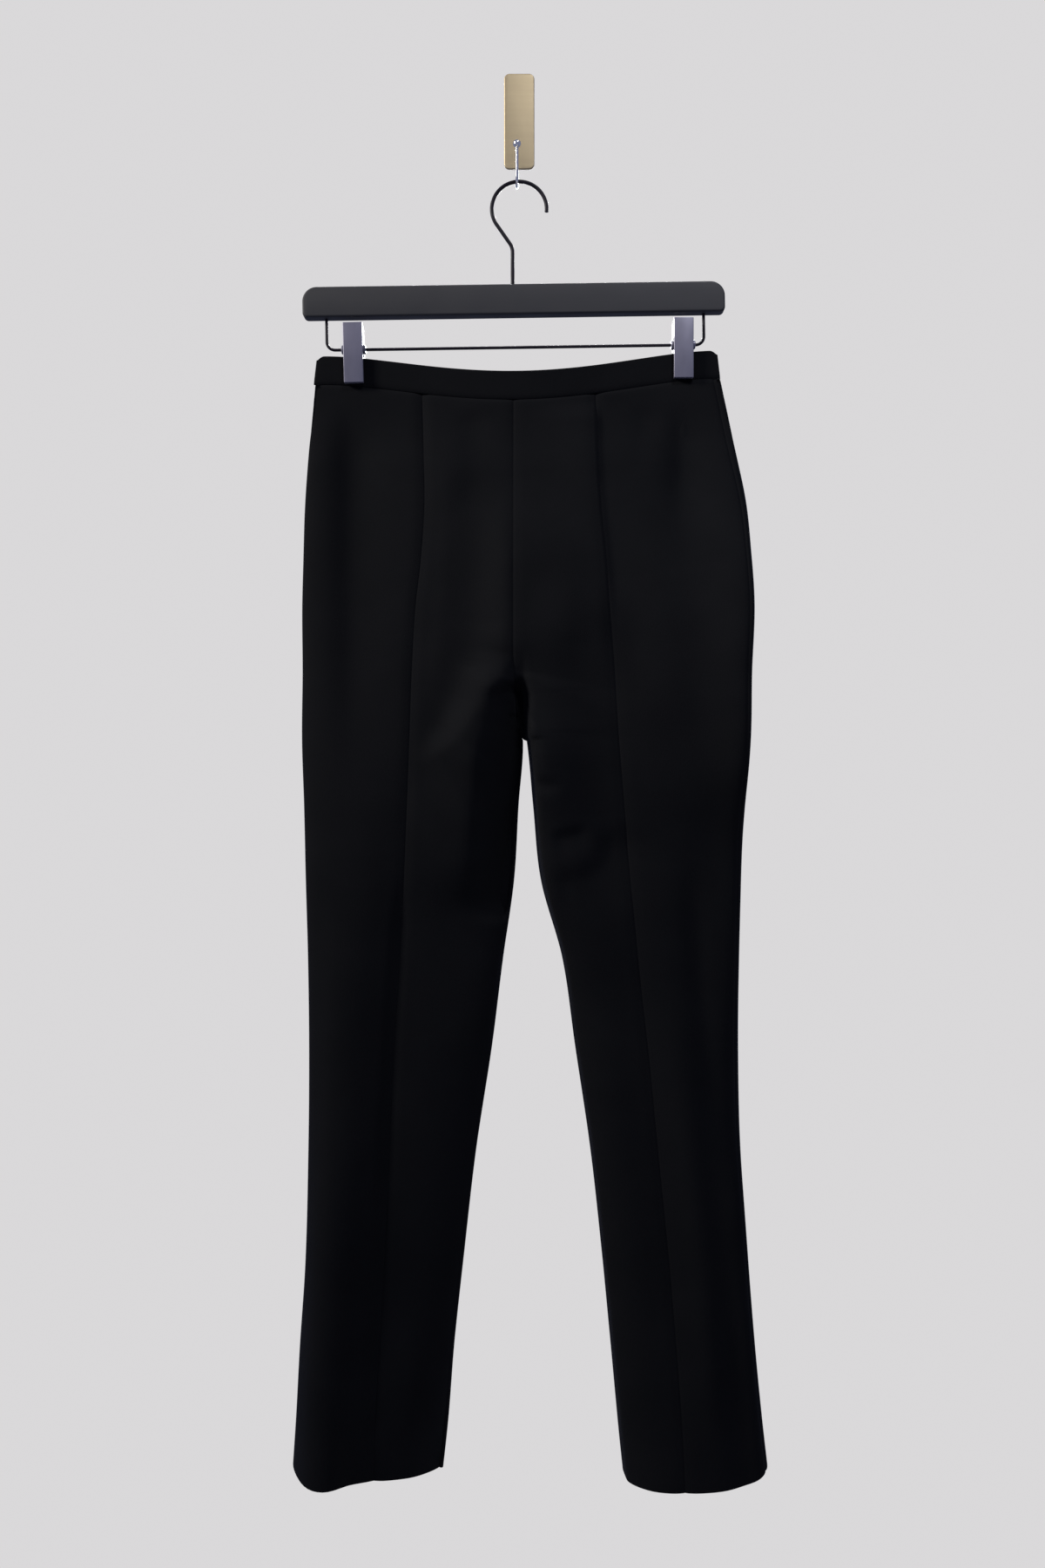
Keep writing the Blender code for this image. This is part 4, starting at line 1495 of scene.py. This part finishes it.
@dataclass
class Trousers:
    """The waistband and the six leg panels, each a thin shell on its solid's form."""

    edge_crowding: float = 0.72
    wall_edge: float = 0.45 * MM
    wall_edge_steps: int = 2
    wall_edge_angle: float = math.radians(50)
    cloth_sharp: float = 60.0
    waist_rows: tuple[float, ...] = (0.6 * MM, 1.3 * MM, 2.2 * MM, 3.6 * MM)
    row_step: float = 3.3 * MM
    fork_step: float = 1.9 * MM
    fork_zone: tuple[float, float] = (-0.59, -0.47)
    back_columns: int = 40
    front_columns: int = 64
    band_columns: int = 150
    band_rows: int = 16
    band_height: float = 24.9 * MM
    band_taper: float = 2.5 * MM
    band_corner: float = 3.5 * MM
    band_dip: float = 0.6
    corner_start: float = 0.965

    def build(self) -> None:
        """Build the waistband's two halves, then the panels of each leg."""
        band = SHADED_BAND_CREPE.material()
        for name, near in (("waistband_back", True), ("waistband_front", False)):
            self.build_band(name, near, band)
        crepe = TROUSER_CREPE.material()
        for leg in (LEFT_LEG, RIGHT_LEG):
            self.build_leg(leg, crepe)

    def levels(self) -> list[float]:
        """Set out the rows of the panels, closer at the waist seam and the fork.

        Returns:
            The rows' levels in metres, from the top down.
        """
        levels = [TOP, *(TOP - drop for drop in self.waist_rows)]
        low, high = self.fork_zone
        while levels[-1] > FOOT:
            step = self.fork_step if low < levels[-1] < high else self.row_step
            levels.append(levels[-1] - step)
        levels[-1] = FOOT
        return levels

    def crowd(self, share: float) -> float:
        """Return an even share of a width moved towards the width's ends."""
        return share - self.edge_crowding * math.sin(math.tau * share) / math.tau

    def cloth(
        self, name: str, columns: int, rows: int,
        place: Callable[[list[float], int], list[Vector]], reverse: bool,
    ) -> tuple[bpy.types.Object, tuple[float, float], float]:
        """Lay a grid on the inside of the cloth and give it a wall.

        Args:
            name: the piece's name.
            columns: grid steps across.
            rows: grid steps down.
            place: gives the points for the shares across and a row.
            reverse: True where the grid's faces point into the garment.

        Returns:
            The piece, its flat width and length, and its flat area.
        """
        bm = bmesh.new()
        bmesh.ops.create_grid(bm, x_segments=columns, y_segments=rows, size=1.0)
        laid = {}
        for vert in bm.verts:
            column = round((vert.co.x + 1) / 2 * columns)
            laid[vert.index] = (column, round((1 - vert.co.y) / 2 * rows))
        shares = [self.crowd(column / columns) for column in range(columns + 1)]
        points = {}
        for row in range(rows + 1):
            for column, point in enumerate(place(shares, row)):
                points[(column, row)] = point
        flat = self.flat_places(points, columns, rows)
        bm.verts.ensure_lookup_table()
        for vert in bm.verts:
            vert.co = points[laid[vert.index]]
        layer = bm.loops.layers.uv.new(UV_NAME)
        for face in bm.faces:
            for loop in face.loops:
                loop[layer].uv = flat[laid[loop.vert.index]]
        if reverse:
            bmesh.ops.reverse_faces(bm, faces=bm.faces)
        area = sum(face.calc_area() for face in bm.faces)
        width = max(flat[(columns, row)][0] - flat[(0, row)][0] for row in range(rows + 1))
        length = -flat[(0, rows)][1]
        piece = mesh_piece(name, bm, self.cloth_sharp)
        wall = piece.modifiers.new("wall", "SOLIDIFY")
        wall.thickness = CLOTH_THICK
        wall.offset = 1.0
        rim = piece.modifiers.new("soft_rim", "BEVEL")
        rim.width = self.wall_edge
        rim.segments = self.wall_edge_steps
        rim.limit_method = "ANGLE"
        rim.angle_limit = self.wall_edge_angle
        return piece, (width, length), area

    def flat_places(
        self, points: dict[tuple[int, int], Vector], columns: int, rows: int
    ) -> dict[tuple[int, int], tuple[float, float]]:
        """Lay the grid flat: its rows straightened and set apart by its middle column.

        Args:
            points: the grid's points by column and row.
            columns: grid steps across.
            rows: grid steps down.

        Returns:
            Each point's place on the flat cloth in metres, by column and row.
        """
        middle = columns // 2
        flat = {}
        down = 0.0
        for row in range(rows + 1):
            if row:
                down -= (points[(middle, row)] - points[(middle, row - 1)]).length
            across = [0.0]
            for column in range(1, columns + 1):
                step = (points[(column, row)] - points[(column - 1, row)]).length
                across.append(across[-1] + step)
            for column in range(columns + 1):
                flat[(column, row)] = (across[column] - across[middle], down)
        return flat

    def build_leg(self, leg: Leg, crepe: bpy.types.Material) -> None:
        """Build a leg's back centre, back side and front panel.

        Args:
            leg: the leg.
            crepe: the cloth's material.
        """
        levels = self.levels()
        rows = len(levels) - 1

        def span(
            name: str, columns: int, start: Callable[[float], float], end: Callable[[float], float]
        ) -> None:
            """Build the panel between two turns.

            Args:
                name: the CAD node that it stands for.
                columns: grid steps across.
                start: gives its first turn at a level.
                end: gives its last turn at a level.
            """

            def place(shares: list[float], row: int) -> list[Vector]:
                """Place one row of the panel.

                Args:
                    shares: the shares across.
                    row: the row's number.

                Returns:
                    A point for each share.
                """
                level = levels[row]
                first, last = start(level), end(level)
                return leg.row(level, [first + (last - first) * share for share in shares])

            reverse = leg.side is Side.LEFT
            piece, size, area = self.cloth(name + "_panel", columns, rows, place, reverse)
            show(piece, crepe, "trouser_cloth", name)

        def panel_seam(level: float) -> float:
            """Return the turn of the long panel seam at a level."""
            return leg.rung(level).panel_turn

        def side_seam(level: float) -> float:
            """Return the turn of the side seam, the same at each level."""
            return leg.side_seam

        def beside(seam: Callable[[float], float], way: int) -> Callable[[float], float]:
            """Set an edge half a gap off a seam.

            Args:
                seam: gives the seam's turn at a level.
                way: 1 for the edge at the higher turns, -1 for the other one.

            Returns:
                A function that gives the edge's turn at a level.
            """
            return lambda level: seam(level) + way * leg.seam_share(level, seam(level))

        side = leg.side.value
        columns = self.back_columns
        span(f"back_centre_{side}", columns, lambda level: 1.0, beside(panel_seam, 1))
        span(f"back_side_{side}", columns, beside(panel_seam, -1), beside(side_seam, 1))
        span(f"front_{side}", self.front_columns, beside(side_seam, -1), lambda level: -1.0)

    def band_point(self, across: float, up: float, near: bool) -> Vector:
        """Place a point on the waistband's inside.

        Args:
            across: -1 at its left end to 1 at its right end.
            up: 0 at its lower seam to 1 at its top.
            near: True for the near layer.

        Returns:
            The point in metres.
        """
        offset = math.sin(across * math.pi / 2)
        foot_x = WAIST.middle + WAIST.half * offset
        x = foot_x - self.band_taper * up * offset
        past = max(0.0, (abs(offset) - self.corner_start) / (1 - self.corner_start))
        depth = WAIST.depth(foot_x, near) + SEAM_GAP / 2
        depth -= WAIST_VALLEY.dip(up * self.band_height) * self.band_dip
        y = HANG_Y - depth if near else HANG_Y + depth
        height = self.band_height - self.band_corner * past ** 2
        return Vector((x, y, WAIST.seam(x) + up * height))

    def build_band(self, name: str, near: bool, finish: bpy.types.Material) -> None:
        """Build one half of the waistband.

        Args:
            name: the CAD node that it stands for.
            near: True for the near layer.
            finish: the band's material.
        """
        rows = self.band_rows

        def place(shares: list[float], row: int) -> list[Vector]:
            """Return the points of one row of the band."""
            return [self.band_point(2 * share - 1, 1 - row / rows, near) for share in shares]

        piece, size, area = self.cloth(
            name + "_strip", self.band_columns, rows, place, not near
        )
        show(piece, finish, "waistband_cloth", name)


# ---------------------------------------------------------------- studio

@dataclass(frozen=True)
class Lamp:
    """A soft square light: its side in metres, its power in watts, its spread in degrees."""

    name: str
    place: tuple[float, float, float]
    size: float
    power: float
    colour: tuple[float, float, float]
    spread: float


LAMPS = (
    Lamp("key", (-2.4, -0.9, 0.9), 0.6, 15.6, (1.0, 0.97, 0.92), 60.0),
    Lamp("top", (0.6, -1.2, 1.2), 0.5, 2.4, (0.90, 0.92, 1.0), 45.0),
    Lamp("back", (0.1, 2.6, 0.9), 1.0, 34.0, (1.0, 1.0, 1.0), 50.0),
)


@dataclass
class Studio:
    """Camera at the photograph's place, soft lights, a pale world and a pale floor."""

    camera_place: tuple[float, float, float] = (0.0030, -1.2240, -0.6117)
    focal_length: float = 30.38
    sensor: float = 36.0
    nearest: float = 0.01
    floor_level: float = -1.90
    floor_radius: float = 0.85
    floor_sides: int = 96
    backdrop: tuple[float, float, float] = (0.70, 0.69, 0.70)
    ambient: tuple[float, float, float] = (0.20, 0.23, 0.38)
    light_aim: tuple[float, float, float] = (0.28, HANG_Y, -0.38)

    def build(self) -> None:
        """Set up the camera, the world, the lights and the floor."""
        self.build_camera()
        self.build_world()
        for lamp in LAMPS:
            self.add_light(lamp)
        self.build_floor()
        bpy.context.scene.view_settings.view_transform = "Standard"

    def build_camera(self) -> None:
        """Place the camera level, square to the wall, at the photograph's height."""
        lens = bpy.data.cameras.new("photo_camera")
        lens.sensor_width = self.sensor
        lens.lens = self.focal_length
        lens.clip_start = self.nearest
        camera = bpy.data.objects.new("photo_camera", lens)
        camera.location = self.camera_place
        camera.rotation_euler = (math.radians(90), 0, 0)
        bpy.context.scene.collection.objects.link(camera)
        bpy.context.scene.camera = camera

    def build_world(self) -> None:
        """Show a pale backdrop to the camera and light the scene with a softer one."""
        world = bpy.data.worlds.new("studio_world")
        world.use_nodes = True
        bpy.context.scene.world = world
        tree = world.node_tree
        seen = tree.nodes["Background"]
        seen.inputs["Color"].default_value = (*self.backdrop, 1.0)
        lit = tree.nodes.new("ShaderNodeBackground")
        lit.inputs["Color"].default_value = (*self.ambient, 1.0)
        path = tree.nodes.new("ShaderNodeLightPath")
        choice = tree.nodes.new("ShaderNodeMixShader")
        tree.links.new(path.outputs["Is Camera Ray"], choice.inputs[0])
        tree.links.new(lit.outputs[0], choice.inputs[1])
        tree.links.new(seen.outputs[0], choice.inputs[2])
        tree.links.new(choice.outputs[0], tree.nodes["World Output"].inputs["Surface"])

    def add_light(self, lamp: Lamp) -> None:
        """Add a light and aim it at the seat.

        Args:
            lamp: its sizes and settings.
        """
        area = bpy.data.lights.new(lamp.name, "AREA")
        area.size = lamp.size
        area.energy = lamp.power
        area.color = lamp.colour
        area.spread = math.radians(lamp.spread)
        light = bpy.data.objects.new(lamp.name, area)
        light.location = lamp.place
        aim = Vector(self.light_aim) - Vector(lamp.place)
        light.rotation_euler = aim.to_track_quat("-Z", "Y").to_euler()
        bpy.context.scene.collection.objects.link(light)

    def build_floor(self) -> None:
        """Lay a round pale floor well below the hems."""
        bm = bmesh.new()
        bmesh.ops.create_circle(
            bm, cap_ends=True, segments=self.floor_sides, radius=self.floor_radius
        )
        bmesh.ops.translate(bm, vec=(0.0, HANG_Y, self.floor_level), verts=bm.verts)
        floor = mesh_piece("floor", bm)
        floor.data.materials.append(FLOOR_PLASTER.material())


def main() -> None:
    """Build every piece and report it."""
    logging.basicConfig(level=logging.INFO, format="%(name)s: %(message)s")
    Studio().build()
    WallHook().build()
    ClipHanger().build()
    Trousers().build()


if __name__ == "__main__":
    main()
